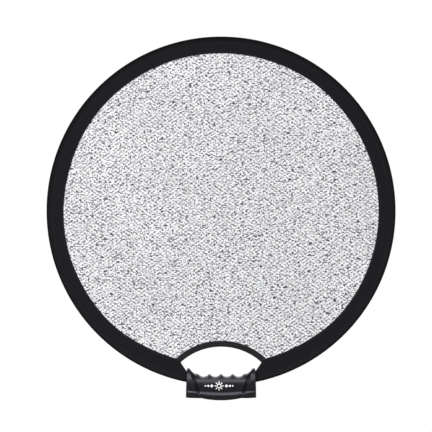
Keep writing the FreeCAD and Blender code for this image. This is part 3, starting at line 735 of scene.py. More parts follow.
@dataclass
class Layout:
    """Where the disc lies in the frame, and the halves that meet at its fold."""

    fold_reach: float = 0.19
    radius: float = 0.0
    centre_z: float = 0.0
    lower: str = "lower"
    upper: str = "upper"

    def read(self, frame: dict) -> None:
        """Take the rim's radius and centre from the frame.
        """
        low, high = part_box("rim_binding_upper")
        self.radius = (high.x - low.x) / 2
        joint = frame["joints"][0]
        self.centre_z = joint["pos_m"][2]
        self.lower, self.upper = joint["parent"], joint["child"]

    def polar(self, place: Vector) -> tuple[float, float]:
        """A place's distance from the disc's centre, and its angle from straight down."""
        return (math.hypot(place.x, place.z - self.centre_z),
                math.atan2(place.x, self.centre_z - place.z))

    def bend(self, piece: bpy.types.Object) -> None:
        """Bake a piece's placement into its mesh; a piece that crosses the fold line doesn't
        bend with either half.

        Args:
            piece: the piece.
        """
        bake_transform(piece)

    def ring(self, profile: Iterable[tuple[float, float]], steps: int,
             gap_degrees: float = 0.0) -> bmesh.types.BMesh:
        """Spin a closed section round the disc's centre.

        Args:
            profile: (distance from the centre, place along Y) of each point, in order.
            steps: how many steps the turn takes.
            gap_degrees: the angle left open at the bottom.

        Returns:
            The ring, closed if it has no gap.
        """
        bm = bmesh.new()
        turn = Matrix.Rotation(math.radians(gap_degrees / 2), 3, "Y")
        verts = [bm.verts.new(turn @ Vector((0.0, y, -r)) + Vector((0.0, 0.0, self.centre_z)))
                 for r, y in profile]
        edges = [bm.edges.new((a, b)) for a, b in zip(verts, verts[1:] + verts[:1])]
        bmesh.ops.spin(bm, geom=verts + edges, cent=(0.0, 0.0, self.centre_z),
                       axis=(0.0, 1.0, 0.0), dvec=(0.0, 0.0, 0.0),
                       angle=math.radians(360.0 - gap_degrees), steps=steps,
                       use_merge=gap_degrees == 0.0)
        return bm


@dataclass
class Cloth:
    """The stretched panels' own small waves, which both panels share."""

    wave: float = 0.45 * MM
    wave_length: float = 0.11
    pucker: float = 0.22 * MM
    pucker_depth: float = 0.016

    def sway(self, place: Vector, edge: float) -> float:
        """How far the taut cloth stands off its plane.

        Args:
            place: a point of the cloth.
            edge: its distance from the binding that holds it.

        Returns:
            The offset along Y.
        """
        held = smooth_step(edge / 0.05)
        slow = noise.noise(place / self.wave_length) * self.wave * held
        near = math.exp(-max(edge, 0.0) / self.pucker_depth)
        quick = noise.noise(Vector((place.x, 3.0, place.z)) / 0.011) * self.pucker * near
        return slow + quick * smooth_step(edge / 0.004)


@dataclass
class Stitches:
    """Rows of lockstitches, each stitch a small lozenge lying on the cloth."""

    length: float = 2.7 * MM
    gap: float = 0.7 * MM
    width: float = 0.62 * MM
    proud: float = 0.3 * MM

    def lozenge(self, bm: bmesh.types.BMesh, place: Vector, along: Vector,
                long: float = 0.0) -> list[bmesh.types.BMVert]:
        """Add one stitch.

        Args:
            bm: the shape that gets it.
            place: its middle.
            along: its direction, in the plane of the cloth.
            long: its length, if not the usual one.

        Returns:
            Its vertices.
        """
        way = along.normalized()
        side = way.cross(Vector((0.0, 1.0, 0.0)))
        size = ((long or self.length) / 2, self.width / 2, self.proud)
        turn = Matrix((way * size[0], side * size[1], Vector((0.0, size[2], 0.0))))
        matrix = Matrix.Translation(place) @ turn.transposed().to_4x4()
        made = bmesh.ops.create_icosphere(bm, subdivisions=1, radius=1.0, matrix=matrix)
        return made["verts"]

    def circle(self, bm: bmesh.types.BMesh, centre: Vector, radius: float) -> None:
        """Lay stitches right round a circle.

        Args:
            bm: the shape that gets them.
            centre: the circle's middle, at the cloth's surface.
            radius: its radius.
        """
        count = int(math.tau * radius / (self.length + self.gap))
        verts = self.lozenge(bm, centre + Vector((0.0, 0.0, -radius)), Vector((1.0, 0.0, 0.0)))
        faces = list({face for vert in verts for face in vert.link_faces})
        edges = list({edge for vert in verts for edge in vert.link_edges})
        bmesh.ops.spin(bm, geom=verts + edges + faces, cent=centre, axis=(0.0, 1.0, 0.0),
                       dvec=(0.0, 0.0, 0.0), angle=math.tau * (count - 1) / count,
                       steps=count - 1, use_duplicate=True)

    def line(self, bm: bmesh.types.BMesh, start: Vector, end: Vector) -> None:
        """Lay stitches along a straight line.

        Args:
            bm: the shape.
            start: where the line starts.
            end: where it ends.
        """
        count = max(1, round((end - start).length / (self.length + self.gap)))
        step = (end - start) / count
        for i in range(count):
            self.lozenge(bm, start + step * (i + 0.5), step)

    def keep(self, bm: bmesh.types.BMesh, wanted: Callable[[Vector], bool]) -> None:
        """Drop every stitch whose middle isn't wanted.

        Args:
            bm: the shape, where each stitch is an island of twelve vertices.
            wanted: tells of a place whether a stitch there stays.
        """
        bm.verts.ensure_lookup_table()
        for first in range(0, len(bm.verts) - 11, 12):
            verts = [bm.verts[first + i] for i in range(12)]
            middle = sum((vert.co for vert in verts), Vector()) / 12
            if not wanted(middle):
                for vert in verts:
                    vert.tag = True
        bmesh.ops.delete(bm, geom=[vert for vert in bm.verts if vert.tag], context="VERTS")


@dataclass
class Rim:
    """The woven binding that wraps the hoop, and its two seams."""

    layout: Layout
    inner: float = 270.7 * MM
    foot: float = 291.45 * MM
    shoulder: float = 298.45 * MM
    leaf: float = 1.0 * MM
    bead: float = 2.75 * MM
    thick: float = 0.45 * MM
    hem: float = 2.6 * MM
    channel: float = 289.95 * MM
    drift: float = 0.5 * MM
    flare: float = 5.5 * MM
    flare_angle: float = 38.0
    pucker: float = 0.32 * MM
    end_x: float = 59.4 * MM
    end_z: float = 29.8 * MM
    end_lean: float = 33.9
    steps: int = 560
    wrapped: float = 0.93
    leaf_lines: tuple[float, ...] = (0.5, 1.6, 2.6, 3.8, 7.0, 10.5, 14.0, 17.5)

    def inner_at(self, angle: float) -> float:
        """The inner edge's distance from the disc's centre, at an angle from straight down.

        Args:
            angle: the angle in radians.

        Returns:
            The distance.
        """
        turned = abs(math.degrees(math.atan2(math.sin(angle), math.cos(angle))))
        flare = self.flare * math.exp(-(turned / self.flare_angle) ** 4)
        uneven = noise.noise(Vector((math.sin(angle), math.cos(angle), 0.4)) * 2.2) * 1.2 * MM
        return self.inner - flare - self.drift * math.cos(angle) + uneven * (
            1.0 - flare / self.flare)

    def slip(self, place: Vector) -> Vector:
        """How far inward a point of the leaf is sewn, because the tape isn't quite even.

        Args:
            place: a place in the frame.

        Returns:
            The shift.
        """
        reach, angle = self.layout.polar(place)
        share = smooth_step((self.foot - reach) / (self.foot - self.inner))
        off = (self.inner_at(angle) - self.inner) * share / max(reach, MM)
        return Vector((place.x * off, 0.0, (place.z - self.layout.centre_z) * off))

    def end_plane(self, side: int) -> tuple[Vector, Vector]:
        """A point of the slanted end's plane on one side, and its normal towards the rim.

        Args:
            side: -1 for the left and 1 for the right.

        Returns:
            The point and the normal.
        """
        lean = math.radians(self.end_lean)
        return (Vector((side * self.end_x, 0.0, self.end_z)),
                Vector((side * math.cos(lean), 0.0, -math.sin(lean))))

    def on_rim(self, place: Vector, margin: float = 0.0) -> bool:
        """Tell whether a place is past the slanted ends, by at least a margin.

        Args:
            place: a place in the frame.
            margin: the least distance past them.

        Returns:
            Whether it is.
        """
        side = 1 if place.x > 0 else -1
        point, normal = self.end_plane(side)
        return place.z > 0.12 or (place - point).dot(normal) > margin

    def section(self) -> list[tuple[float, float]]:
        """The binding's closed section, out round the hoop and back inside.

        Returns:
            (distance from the centre, place along Y) of each point.
        """
        outer = [(self.inner + 0.06 * MM, self.leaf - 0.04 * MM)]
        outer += [(self.inner + off * MM, self.leaf) for off in self.leaf_lines]
        outer += [(self.channel, self.leaf), (self.foot, self.leaf),
                 (self.foot + 3.0 * MM, self.leaf + 0.62 * MM),
                 (self.shoulder - 1.0 * MM, self.bead - 0.16 * MM), (self.shoulder, self.bead),
                 (self.layout.radius - 0.5 * MM, self.bead - 0.12 * MM),
                 (self.layout.radius - 0.1 * MM, self.bead - 0.75 * MM),
                 (self.layout.radius, self.bead - 1.6 * MM)]
        inner = [(self.layout.radius - self.thick, self.bead - 1.0 * MM),
                 (self.shoulder, self.bead - self.thick),
                 (self.foot, self.leaf - self.thick),
                 (self.inner + 0.06 * MM, self.leaf - self.thick + 0.04 * MM)]
        mirrored = [(r, -y) for r, y in reversed(outer)]
        return outer + mirrored + [(r, -y) for r, y in reversed(inner)] + inner

    def binding(self) -> bpy.types.Object:
        """Build the binding, trim its slanted ends and let its leaves pucker.

        Returns:
            The binding.
        """
        bm = self.layout.ring(self.section(), self.steps)
        bmesh.ops.remove_doubles(bm, verts=bm.verts[:], dist=0.01 * MM)
        for vert in bm.verts:
            vert.co += self.slip(vert.co)
        for side in (1, -1):
            point, normal = self.end_plane(side)
            near = [f for f in bm.faces if f.calc_center_median().z < 0.075
                    and side * f.calc_center_median().x > -0.01 * MM]
            ends = list({e for f in near for e in f.edges}) + list(
                {v for f in near for v in f.verts}) + near
            bmesh.ops.bisect_plane(bm, geom=ends, plane_co=point, plane_no=normal,
                                   clear_inner=True, dist=0.001 * MM)
        close_ends(bm)
        bmesh.ops.recalc_face_normals(bm, faces=bm.faces[:])
        for vert in bm.verts:
            self.wrinkle(vert)
        map_cloth(bm, self.unroll)
        piece = finished("rim_binding", bm, RIM_TAPE, 50.0)
        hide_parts("rim_binding_upper", "rim_binding_lower_left",
                    "rim_binding_lower_right")
        self.layout.bend(piece)
        return piece

    def wrinkle(self, vert: bmesh.types.BMVert) -> None:
        """Let the outer faces of the leaves stand a little off the seams.

        Args:
            vert: the corner that moves.
        """
        reach, angle = self.layout.polar(vert.co)
        outside = abs(vert.co.y) > self.leaf - 0.1 * MM and reach < self.foot + 5.0 * MM
        if not outside:
            return
        edge = self.inner_at(angle)
        seams = (edge, edge + self.hem, self.channel, self.foot)
        free = min(smooth_step(abs(reach - seam) / (2.6 * MM)) for seam in seams)
        side = 1.0 if vert.co.y > 0 else -1.0
        fold = noise.noise(Vector((angle * 17.0 + 5.0 * side, reach * 70.0, side)))
        small = noise.noise(Vector((angle * 52.0, reach * 160.0, side * 4.0)))
        vert.co.y += side * free * self.pucker * (0.55 + 0.6 * fold + 0.4 * small)
        if reach < edge + 1.0 * MM:
            ragged = noise.noise(Vector((angle * 60.0, 0.0, side * 9.0))) * 0.2 * MM
            vert.co += (vert.co - Vector((0.0, vert.co.y, self.layout.centre_z))) * (
                ragged / reach)

    def unroll(self, place: Vector, normal: Vector) -> tuple[float, float]:
        """The tape's own coordinates at a place: along the rim, and across it.

        Args:
            place: a place in the frame.
            normal: its face's normal, which map_cloth also gives; not used.

        Returns:
            The UV.
        """
        reach, angle = self.layout.polar(place)
        turned = angle % math.tau
        return turned * self.layout.radius, reach + abs(place.y)

    def seam(self, name: str, radius: float, nodes: tuple[str, ...]) -> bpy.types.Object:
        """Build one seam round the binding, on both faces.

        Args:
            name: the seam's name.
            radius: its distance from the disc's centre.
            nodes: the CAD nodes that it stands for.

        Returns:
            The seam.
        """
        bm = bmesh.new()
        for side in (-1, 1):
            Stitches().circle(bm, Vector((0.0, side * self.leaf, self.layout.centre_z)), radius)
        for vert in bm.verts:
            vert.co += self.slip(vert.co)
        Stitches().keep(bm, lambda middle: self.on_rim(middle, 3.0 * MM))
        bmesh.ops.recalc_face_normals(bm, faces=bm.faces[:])
        piece = finished(name, bm, THREAD, 80.0)
        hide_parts(*nodes)
        self.layout.bend(piece)
        return piece

    def end_seams(self) -> bpy.types.Object:
        """Build the lines of stitches along the slanted ends.

        Returns:
            The stitches.
        """
        bm = bmesh.new()
        low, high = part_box("rim_end_seams")
        for side in (-1, 1):
            point, normal = self.end_plane(side)
            way = Vector((-normal.z, 0.0, normal.x)) * side
            line = point + normal * 2.4 * MM
            start = line + way * ((low.z + 2.0 * MM - line.z) / way.z)
            end = line + way * ((high.z - 0.5 * MM - line.z) / way.z)
            for face in (-1, 1):
                lift = Vector((0.0, face * self.leaf, 0.0))
                Stitches().line(bm, start + lift, end + lift)
        bmesh.ops.recalc_face_normals(bm, faces=bm.faces[:])
        piece = finished("rim_end_stitches", bm, THREAD, 80.0)
        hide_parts("rim_end_seams")
        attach(piece, self.layout.lower)
        return piece

    def build(self) -> None:
        """Build the binding and all its seams."""
        self.binding()
        self.seam("channel_stitches", self.channel,
                  ("channel_seam_upper", "channel_seam_lower"))
        self.seam("hem_stitches", self.inner + self.hem, ("hem_seam_upper", "hem_seam_lower"))
        self.end_seams()


@dataclass
class Hoop:
    """The band of spring steel that stretches the disc."""

    layout: Layout
    gap: float = 0.4 * MM
    steps: int = 360

    def build(self) -> None:
        """Build the band, its two ends a hair apart inside the ferrule."""
        low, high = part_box("hoop_upper")
        outer, half = (high.x - low.x) / 2, (high.y - low.y) / 2
        inner = outer - 1.0 * MM
        ease = 0.22 * MM
        section = [(outer, half - ease), (outer - ease, half), (inner + ease, half),
                   (inner, half - ease), (inner, ease - half), (inner + ease, -half),
                   (outer - ease, -half), (outer, ease - half)]
        bm = self.layout.ring(section, self.steps, math.degrees(self.gap / outer))
        bmesh.ops.holes_fill(bm, edges=[e for e in bm.edges if e.is_boundary], sides=0)
        bmesh.ops.recalc_face_normals(bm, faces=bm.faces[:])
        piece = finished("spring_band", bm, SPRING, 30.0)
        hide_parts("hoop_upper", "hoop_lower_left", "hoop_lower_right")
        self.layout.bend(piece)


@dataclass
class Panels:
    """The silver panel and the white one, stretched inside the rim."""

    layout: Layout
    rim: Rim
    radius: float = 291.0 * MM
    thick: float = 0.45 * MM
    ply: float = 0.05 * MM
    rings: int = 78
    steps: int = 330
    opening_z: float = -31.25 * MM
    opening_radius: float = 104.2 * MM
    taped: float = 9.2 * MM
    snap: float = 6.0 * MM
    pattern_shift: float = 0.004
    waves: Cloth = field(default_factory=Cloth)

    def stand_off(self, place: Vector) -> float:
        """How far both panels sway from their plane at a place.

        Args:
            place: a place in the frame.

        Returns:
            The offset along Y.
        """
        reach, angle = self.layout.polar(place)
        hole = self.from_opening(place) - self.taped
        return self.waves.sway(place, min(self.rim.inner_at(angle) - reach, hole))

    def panel(self, name: str, side: int, finish: Finish,
              nodes: tuple[str, str]) -> bpy.types.Object:
        """Build one panel as a closed sheet with the opening cut out.

        Args:
            name: its name.
            side: -1 for the front and 1 for the back.
            finish: its cloth.
            nodes: the two CAD nodes that it stands for.

        Returns:
            The panel.
        """
        bm = bmesh.new()
        centre = Vector((0.0, 0.0, self.layout.centre_z))
        line = [bm.verts.new(centre - Vector((0.0, 0.0, self.radius * i / self.rings)))
                for i in range(self.rings + 1)]
        edges = [bm.edges.new(pair) for pair in zip(line, line[1:])]
        bmesh.ops.spin(bm, geom=line + edges, cent=centre, axis=(0.0, 1.0, 0.0),
                       dvec=(0.0, 0.0, 0.0), angle=math.tau, steps=self.steps,
                       use_merge=True)
        bmesh.ops.remove_doubles(bm, verts=bm.verts[:], dist=0.02 * MM)
        cut = [face for face in bm.faces if self.from_opening(face.calc_center_median()) < 0]
        bmesh.ops.delete(bm, geom=cut, context="FACES")
        for vert in bm.verts:
            off = self.from_opening(vert.co)
            if vert.is_boundary and abs(off) < self.snap:
                out = Vector((vert.co.x, 0.0, vert.co.z - self.opening_z)).normalized()
                vert.co -= out * off
        made = bmesh.ops.extrude_face_region(bm, geom=bm.faces[:])
        outside = {item for item in made["geom"] if isinstance(item, bmesh.types.BMVert)}
        for vert in bm.verts:
            depth = self.ply + (self.thick if vert in outside else 0.0)
            vert.co.y = side * depth - self.stand_off(vert.co)
        bmesh.ops.recalc_face_normals(bm, faces=bm.faces[:])
        map_cloth(bm, lambda place, normal: (place.x + side * self.pattern_shift,
                                                place.z))
        piece = finished(name, bm, finish, 60.0)
        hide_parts(*nodes)
        self.layout.bend(piece)
        return piece

    def from_opening(self, place: Vector) -> float:
        """How far a place lies outside the opening's cut edge."""
        return math.hypot(place.x, place.z - self.opening_z) - self.opening_radius

    def build(self) -> None:
        """Build both panels."""
        self.panel("silver_panel", -1, SILVER,
                   ("silver_panel_upper", "silver_panel_lower"))
        self.panel("white_panel", 1, WHITE,
                   ("white_panel_upper", "white_panel_lower"))


@dataclass
class Opening:
    """The tape that binds the opening for the fingers, with its seam and bar tacks."""

    layout: Layout
    rim: Rim
    centre_z: float = -31.25 * MM
    radius: float = 103.0 * MM
    width: float = 10.3 * MM
    leaf: float = 1.0 * MM
    thick: float = 0.45 * MM
    end_x: float = 69.4 * MM
    end_lean: float = 32.0
    lap: float = 0.55 * MM
    half_sweep: float = 58.0
    seam_inset: float = 1.3 * MM
    steps: int = 120

    def end_plane(self, side: int) -> tuple[Vector, Vector]:
        """A point of the tape's cut end on one side, and its normal towards the tape.

        Args:
            side: -1 for the left and 1 for the right.

        Returns:
            The point and the normal.
        """
        z = self.centre_z + math.sqrt(self.radius ** 2 - self.end_x ** 2)
        lean = math.radians(self.end_lean)
        return (Vector((side * self.end_x, 0.0, z)),
                Vector((-side * math.sin(lean), 0.0, math.cos(lean))))

    def beyond_end(self, place: Vector) -> float:
        """How far a place lies inside the tape's nearer cut end."""
        point, normal = self.end_plane(1 if place.x > 0 else -1)
        return (place - point).dot(normal)

    def lift(self, place: Vector) -> float:
        """How much the tape stands up where it laps over the rim's corner."""
        return self.lap * smooth_step((16.0 * MM - self.beyond_end(place)) / (6.0 * MM))

    def tape(self) -> bpy.types.Object:
        """Build the tape, folded over the cloth's edge and cut off where it laps the rim.

        Returns:
            The tape.
        """
        outer = self.radius + self.width
        face = [(outer, self.leaf - 0.08 * MM), (outer - 0.3 * MM, self.leaf),
                (outer - self.seam_inset, self.leaf - 0.07 * MM),
                (outer - 2.6 * MM, self.leaf + 0.04 * MM),
                (self.radius + 4.0 * MM, self.leaf + 0.06 * MM),
                (self.radius + 0.7 * MM, self.leaf),
                (self.radius + 0.15 * MM, self.leaf - 0.3 * MM), (self.radius, 0.3 * MM)]
        inside = [(self.radius + self.thick, 0.2 * MM),
                  (self.radius + 0.7 * MM, self.leaf - self.thick),
                  (outer, self.leaf - self.thick)]
        section = face + [(r, -y) for r, y in reversed(face)]
        section += [(r, -y) for r, y in reversed(inside)] + inside
        bm = bmesh.new()
        turn = Matrix.Rotation(math.radians(-self.half_sweep), 3, "Y")
        centre = Vector((0.0, 0.0, self.centre_z))
        verts = [bm.verts.new(centre + turn @ Vector((0.0, y, r))) for r, y in section]
        edges = [bm.edges.new(pair) for pair in zip(verts, verts[1:] + verts[:1])]
        bmesh.ops.spin(bm, geom=verts + edges, cent=centre, axis=(0.0, 1.0, 0.0),
                       dvec=(0.0, 0.0, 0.0), angle=math.radians(2 * self.half_sweep),
                       steps=self.steps)
        for side in (-1, 1):
            point, normal = self.end_plane(side)
            bmesh.ops.bisect_plane(bm, geom=bm.verts[:] + bm.edges[:] + bm.faces[:],
                                   plane_co=point, plane_no=normal,
                                   clear_inner=True, dist=0.001 * MM)
        close_ends(bm)
        bmesh.ops.recalc_face_normals(bm, faces=bm.faces[:])
        for vert in bm.verts:
            side = 1.0 if vert.co.y > 0 else -1.0
            free = abs(vert.co.y) > self.leaf - 0.2 * MM
            sway = noise.noise(vert.co * 130.0) * 0.12 * MM if free else 0.0
            flat = smooth_step(abs(vert.co.y) / (0.5 * MM))
            vert.co.y += side * (sway + self.lift(vert.co) * flat)
        map_cloth(bm, self.unroll)
        piece = finished("opening_tape", bm, EDGE_TAPE, 50.0)
        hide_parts("opening_binding")
        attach(piece, self.layout.lower)
        return piece

    def unroll(self, place: Vector, normal: Vector) -> tuple[float, float]:
        """The tape's own coordinates: along the opening, and across the tape.

        Args:
            place: a place in the frame.
            normal: its face's normal, which map_cloth also gives; not used.

        Returns:
            The UV.
        """
        angle = math.atan2(place.x, place.z - self.centre_z)
        reach = math.hypot(place.x, place.z - self.centre_z)
        return angle * self.radius, reach + place.y

    def seam(self) -> None:
        """Build the tape's line of stitches, on both faces."""
        bm = bmesh.new()
        radius = self.radius + self.width - self.seam_inset
        for side in (-1, 1):
            Stitches(length=2.2 * MM).circle(
                bm, Vector((0.0, side * self.leaf, self.centre_z)), radius)
        Stitches().keep(bm, lambda middle: self.beyond_end(middle) > 4.5 * MM
                        and middle.z > self.centre_z)
        self.settle(bm)
        piece = finished("opening_stitches", bm, THREAD, 80.0)
        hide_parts("opening_seam")
        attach(piece, self.layout.lower)

    def settle(self, bm: bmesh.types.BMesh) -> None:
        """Raise stitches with the tape that they lie on, and face them outwards.

        Args:
            bm: the shape.
        """
        for vert in bm.verts:
            side = 1.0 if vert.co.y > 0 else -1.0
            vert.co.y += side * self.lift(vert.co)
        bmesh.ops.recalc_face_normals(bm, faces=bm.faces[:])

    def tacks(self) -> None:
        """Build the bar tack across the tape at each end, a row of close stitches."""
        bm = bmesh.new()
        for side in (-1, 1):
            point, normal = self.end_plane(side)
            way = Vector((side * normal.z, 0.0, abs(normal.x)))
            for row in range(7):
                near = point + normal * (2.0 + 0.34 * row) * MM + way * 1.6 * MM
                far = near + way * (self.width - 1.6 * MM)
                for face in (-1, 1):
                    lift = Vector((0.0, face * self.leaf, 0.0))
                    Stitches(width=0.45 * MM).lozenge(
                        bm, (near + far) / 2 + lift, far - near, (far - near).length)
        self.settle(bm)
        piece = finished("corner_tacks", bm, THREAD, 80.0)
        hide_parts("corner_bartacks")
        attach(piece, self.layout.lower)

    def build(self) -> None:
        """Build the tape, its seam and its tacks."""
        self.tape()
        self.seam()
        self.tacks()


class Half(Enum):
    """Which of the grip's two shells, by the way it faces along Y."""

    FRONT = -1
    BACK = 1


# (height, depth) up the front's bottom lip and belt, which the palm and the cheeks share
LIP = ((-20.0, 6.8), (-16.2, 9.6), (-13.6, 12.2), (-12.0, 13.6), (-10.6, 13.9))


@dataclass
class Grip:
    """The moulded grip: two shells, bored for their screws, and the printed mark.

    Its sizes are millimetres.
    """

    layout: Layout
    half_width: float = 60.5
    draft: float = 1.2
    low: float = -16.0
    belly_drop: float = 4.0
    belly_half: float = 34.0
    corner: float = 1.2
    horn_x: float = 56.1
    horn_top: float = 34.4
    horn_tip: float = 2.9
    sweep: float = 12.2
    shoulder_x: float = 41.6
    shoulder_z: float = 24.6
    pitch: float = 20.0
    crest_z: float = 24.0
    groove: float = 4.7
    crest_radius: float = 2.0
    wall: float = 2.4
    round_edge: float = 1.8
    columns: int = 176
    rows: int = 84
    palm: tuple[tuple[float, float], ...] = LIP + (
        (-9.0, 13.3), (-6.6, 11.8), (-4.6, 11.6), (-1.0, 12.2), (4.0, 12.9), (8.0, 13.1),
        (10.5, 12.75), (13.0, 12.0), (15.5, 10.95), (18.0, 10.1), (20.5, 9.7), (24.0, 9.4),
        (34.0, 9.0))
    pillar: tuple[tuple[float, float], ...] = LIP + (
        (-9.0, 13.4), (-6.6, 12.3), (-4.6, 12.4), (0.0, 13.2), (7.0, 13.6), (12.0, 13.3),
        (17.0, 12.0), (22.0, 9.8), (26.5, 8.0), (31.0, 7.2), (34.0, 6.8))
    screws: tuple[tuple[float, float], ...] = (
        (-46.0, -7.5), (-20.0, 14.6), (20.0, 14.6), (46.0, -7.5))
    bore: float = 2.9
    bore_floor: float = 5.2
    bore_end: float = 16.0
    boss: float = 5.6
    cheek_thick: float = 11.0
    cheek_foot: float = 42.9
    cheek_lean: float = 0.367
    band_room: float = 2.4
    rim_end_x: float = 59.4
    rim_end_z: float = 29.8
    rim_end_slope: float = 0.672
    rim_inner: float = 270.3
    bead_foot: float = 291.0
    bead_run: float = 7.0
    bead_rise: float = 1.75
    leaf_room: float = 1.35
    mark_x: float = -3.4
    mark_z: float = 5.6

    def side_at(self, z: float) -> float:
        """Half of the grip's width at a height.

        Args:
            z: the height.

        Returns:
            Half of the width.
        """
        if z < self.low + self.corner:
            drop = self.low + self.corner - z
            inset = self.corner - math.sqrt(max(0.0, self.corner ** 2 - drop ** 2))
            return self.half_width - min(inset, self.corner)
        share = (z - self.low - self.corner) / (self.shoulder_z - self.low - self.corner)
        if share < 1.0:
            return self.half_width - self.draft * share
        waist = self.half_width - self.draft
        rise = (z - self.shoulder_z) / (self.horn_top - self.horn_tip - self.shoulder_z)
        return waist + (self.horn_x + self.horn_tip - waist) * min(rise, 1.0) ** 2.5

    def bottom_at(self, x: float) -> float:
        """The height of the bottom edge: flat, with a shallow belly in the middle.

        Args:
            x: the place across the grip.

        Returns:
            The height of the edge.
        """
        if abs(x) >= self.belly_half:
            return self.low
        radius = (self.belly_half ** 2 + self.belly_drop ** 2) / (2 * self.belly_drop)
        return self.low - self.belly_drop + radius - math.sqrt(radius ** 2 - x * x)

    def top_at(self, x: float) -> float:
        """The height of the top edge: four finger grooves, two shoulders and two horns.

        Args:
            x: the place across the grip.

        Returns:
            The height of the edge.
        """
        across = abs(x)
        edge = 1.5 * self.pitch + self.groove_half()
        if across <= edge:
            return self.wave_at(across)
        tip_x = self.horn_x - 0.8 * self.horn_tip
        tip_z = self.horn_top - 0.4 * self.horn_tip
        if across >= tip_x:
            off = min(abs(across - self.horn_x), self.horn_tip)
            return self.horn_top - self.horn_tip + math.sqrt(self.horn_tip ** 2 - off * off)
        if across <= self.shoulder_x:
            share = (across - edge) / (self.shoulder_x - edge)
            bulge = 0.55 * math.sin(math.pi * share)
            return self.wave_at(edge) + (self.shoulder_z - self.wave_at(edge)) * share + bulge
        run, rise = tip_x - self.shoulder_x, tip_z - self.shoulder_z
        chord = math.hypot(run, rise)
        sag = self.sweep - math.sqrt(self.sweep ** 2 - chord ** 2 / 4)
        share = (across - self.shoulder_x) / run
        return self.shoulder_z + rise * share - sag * 4 * share * (1 - share)

    def wave_sum(self) -> float:
        """The sum of a groove's radius and a crest's."""
        return (self.pitch ** 2 / 4 + self.groove ** 2) / (2 * self.groove)

    def groove_half(self) -> float:
        """Half of a groove's own width."""
        total = self.wave_sum()
        return (total - self.crest_radius) * self.pitch / 2 / total

    def wave_at(self, across: float) -> float:
        """The height of the grooved edge: arcs down into grooves and over crests.

        Args:
            across: the distance from the grip's middle.

        Returns:
            The height of the edge.
        """
        total = self.wave_sum()
        radius = total - self.crest_radius
        place = (across / self.pitch) % 1.0 - 0.5
        off = place * self.pitch
        if abs(off) <= self.groove_half() or across > 1.5 * self.pitch:
            off = min(abs(off), radius * 0.999)
            return (self.crest_z - self.groove + radius) - math.sqrt(radius ** 2 - off * off)
        off = self.pitch / 2 - abs(off)
        return self.crest_z - self.crest_radius + math.sqrt(self.crest_radius ** 2 - off * off)

    def curve(self, table: tuple[tuple[float, float], ...], z: float) -> float:
        """Read a smooth curve through a few (height, depth) knots.

        Args:
            table: (height, depth) of each knot, upwards.
            z: the height.

        Returns:
            The depth.
        """
        if z <= table[0][0]:
            return table[0][1]
        if z >= table[-1][0]:
            return table[-1][1]
        i = max(k for k in range(len(table) - 1) if table[k][0] <= z)
        knots = [table[max(0, min(len(table) - 1, i + k))] for k in (-1, 0, 1, 2)]
        (z0, d0), (z1, d1), (z2, d2), (z3, d3) = knots
        step = z2 - z1
        share = (z - z1) / step
        first = (d2 - d0) / (z2 - z0) * step
        last = (d3 - d1) / (z3 - z1) * step
        bend = 2 * (d1 - d2) + first + last
        return d1 + share * (first + share * (3 * (d2 - d1) - 2 * first - last + share * bend))

    def cheek_edge(self, z: float) -> float:
        """How far out a cheek's inner edge stands at a height."""
        return self.cheek_foot + self.cheek_lean * z

    def front_depth(self, x: float, z: float) -> float:
        """How far the front stands before the parting plane.

        Args:
            x: place across the grip.
            z: height.

        Returns:
            The depth, before its outline is rounded.
        """
        across = abs(x)
        smile = 4.6 * min(1.0, (across / 50.0) ** 2)
        lifted = z - smile * smooth_step((4.0 - z) / 12.0) * smooth_step((z + 17.0) / 5.0)
        off = across - self.cheek_edge(z)
        above = smooth_step((z + 9.5) / 5.0)
        cheek = smooth_step((off + 0.5) / 1.7) * above
        depth = self.curve(self.palm, lifted)
        depth += (self.curve(self.pillar, lifted) - depth) * cheek
        lip = 0.55 * math.exp(-((off - 1.6) / 1.1) ** 2)
        valley = 3.4 * math.exp(-((off + 2.6) / 2.1) ** 2) * smooth_step((31.0 - z) / 6.0)
        depth += above * (lip - valley) - 0.022 * max(0.0, off - 4.0) ** 2
        if z < -9.0 and across < 31.0:
            insert = smooth_step((31.0 - across) / 1.2) * smooth_step((-9.0 - z) / 2.0)
            depth += 0.5 * insert
        tick = math.exp(-((across - 31.6) / 0.5) ** 2) * smooth_step((-5.0 - z) / 3.0)
        depth -= 0.7 * tick
        return min(depth, 14.2)

    def back_depth(self, x: float, z: float) -> float:
        """How far the back stands behind the parting plane, before its outline is rounded.

        Args:
            x: the place across the grip.
            z: the height.

        Returns:
            The depth.
        """
        depth = self.curve(((-20.0, 8.4), (-9.5, 12.6), (-6.0, 13.0), (3.0, 13.0),
                            (12.0, 13.0), (16.0, 12.6), (34.0, 8.6)), z)
        across = abs(x)
        finger = math.exp(-((z - 17.0) / 5.0) ** 2) * 0.5 * (
            1.0 + math.cos(math.tau * across / self.pitch))
        return depth - 0.5 * (1.0 - finger) * smooth_step((z - 14.0) / 5.0) * smooth_step(
            (44.0 - across) / 4.0)

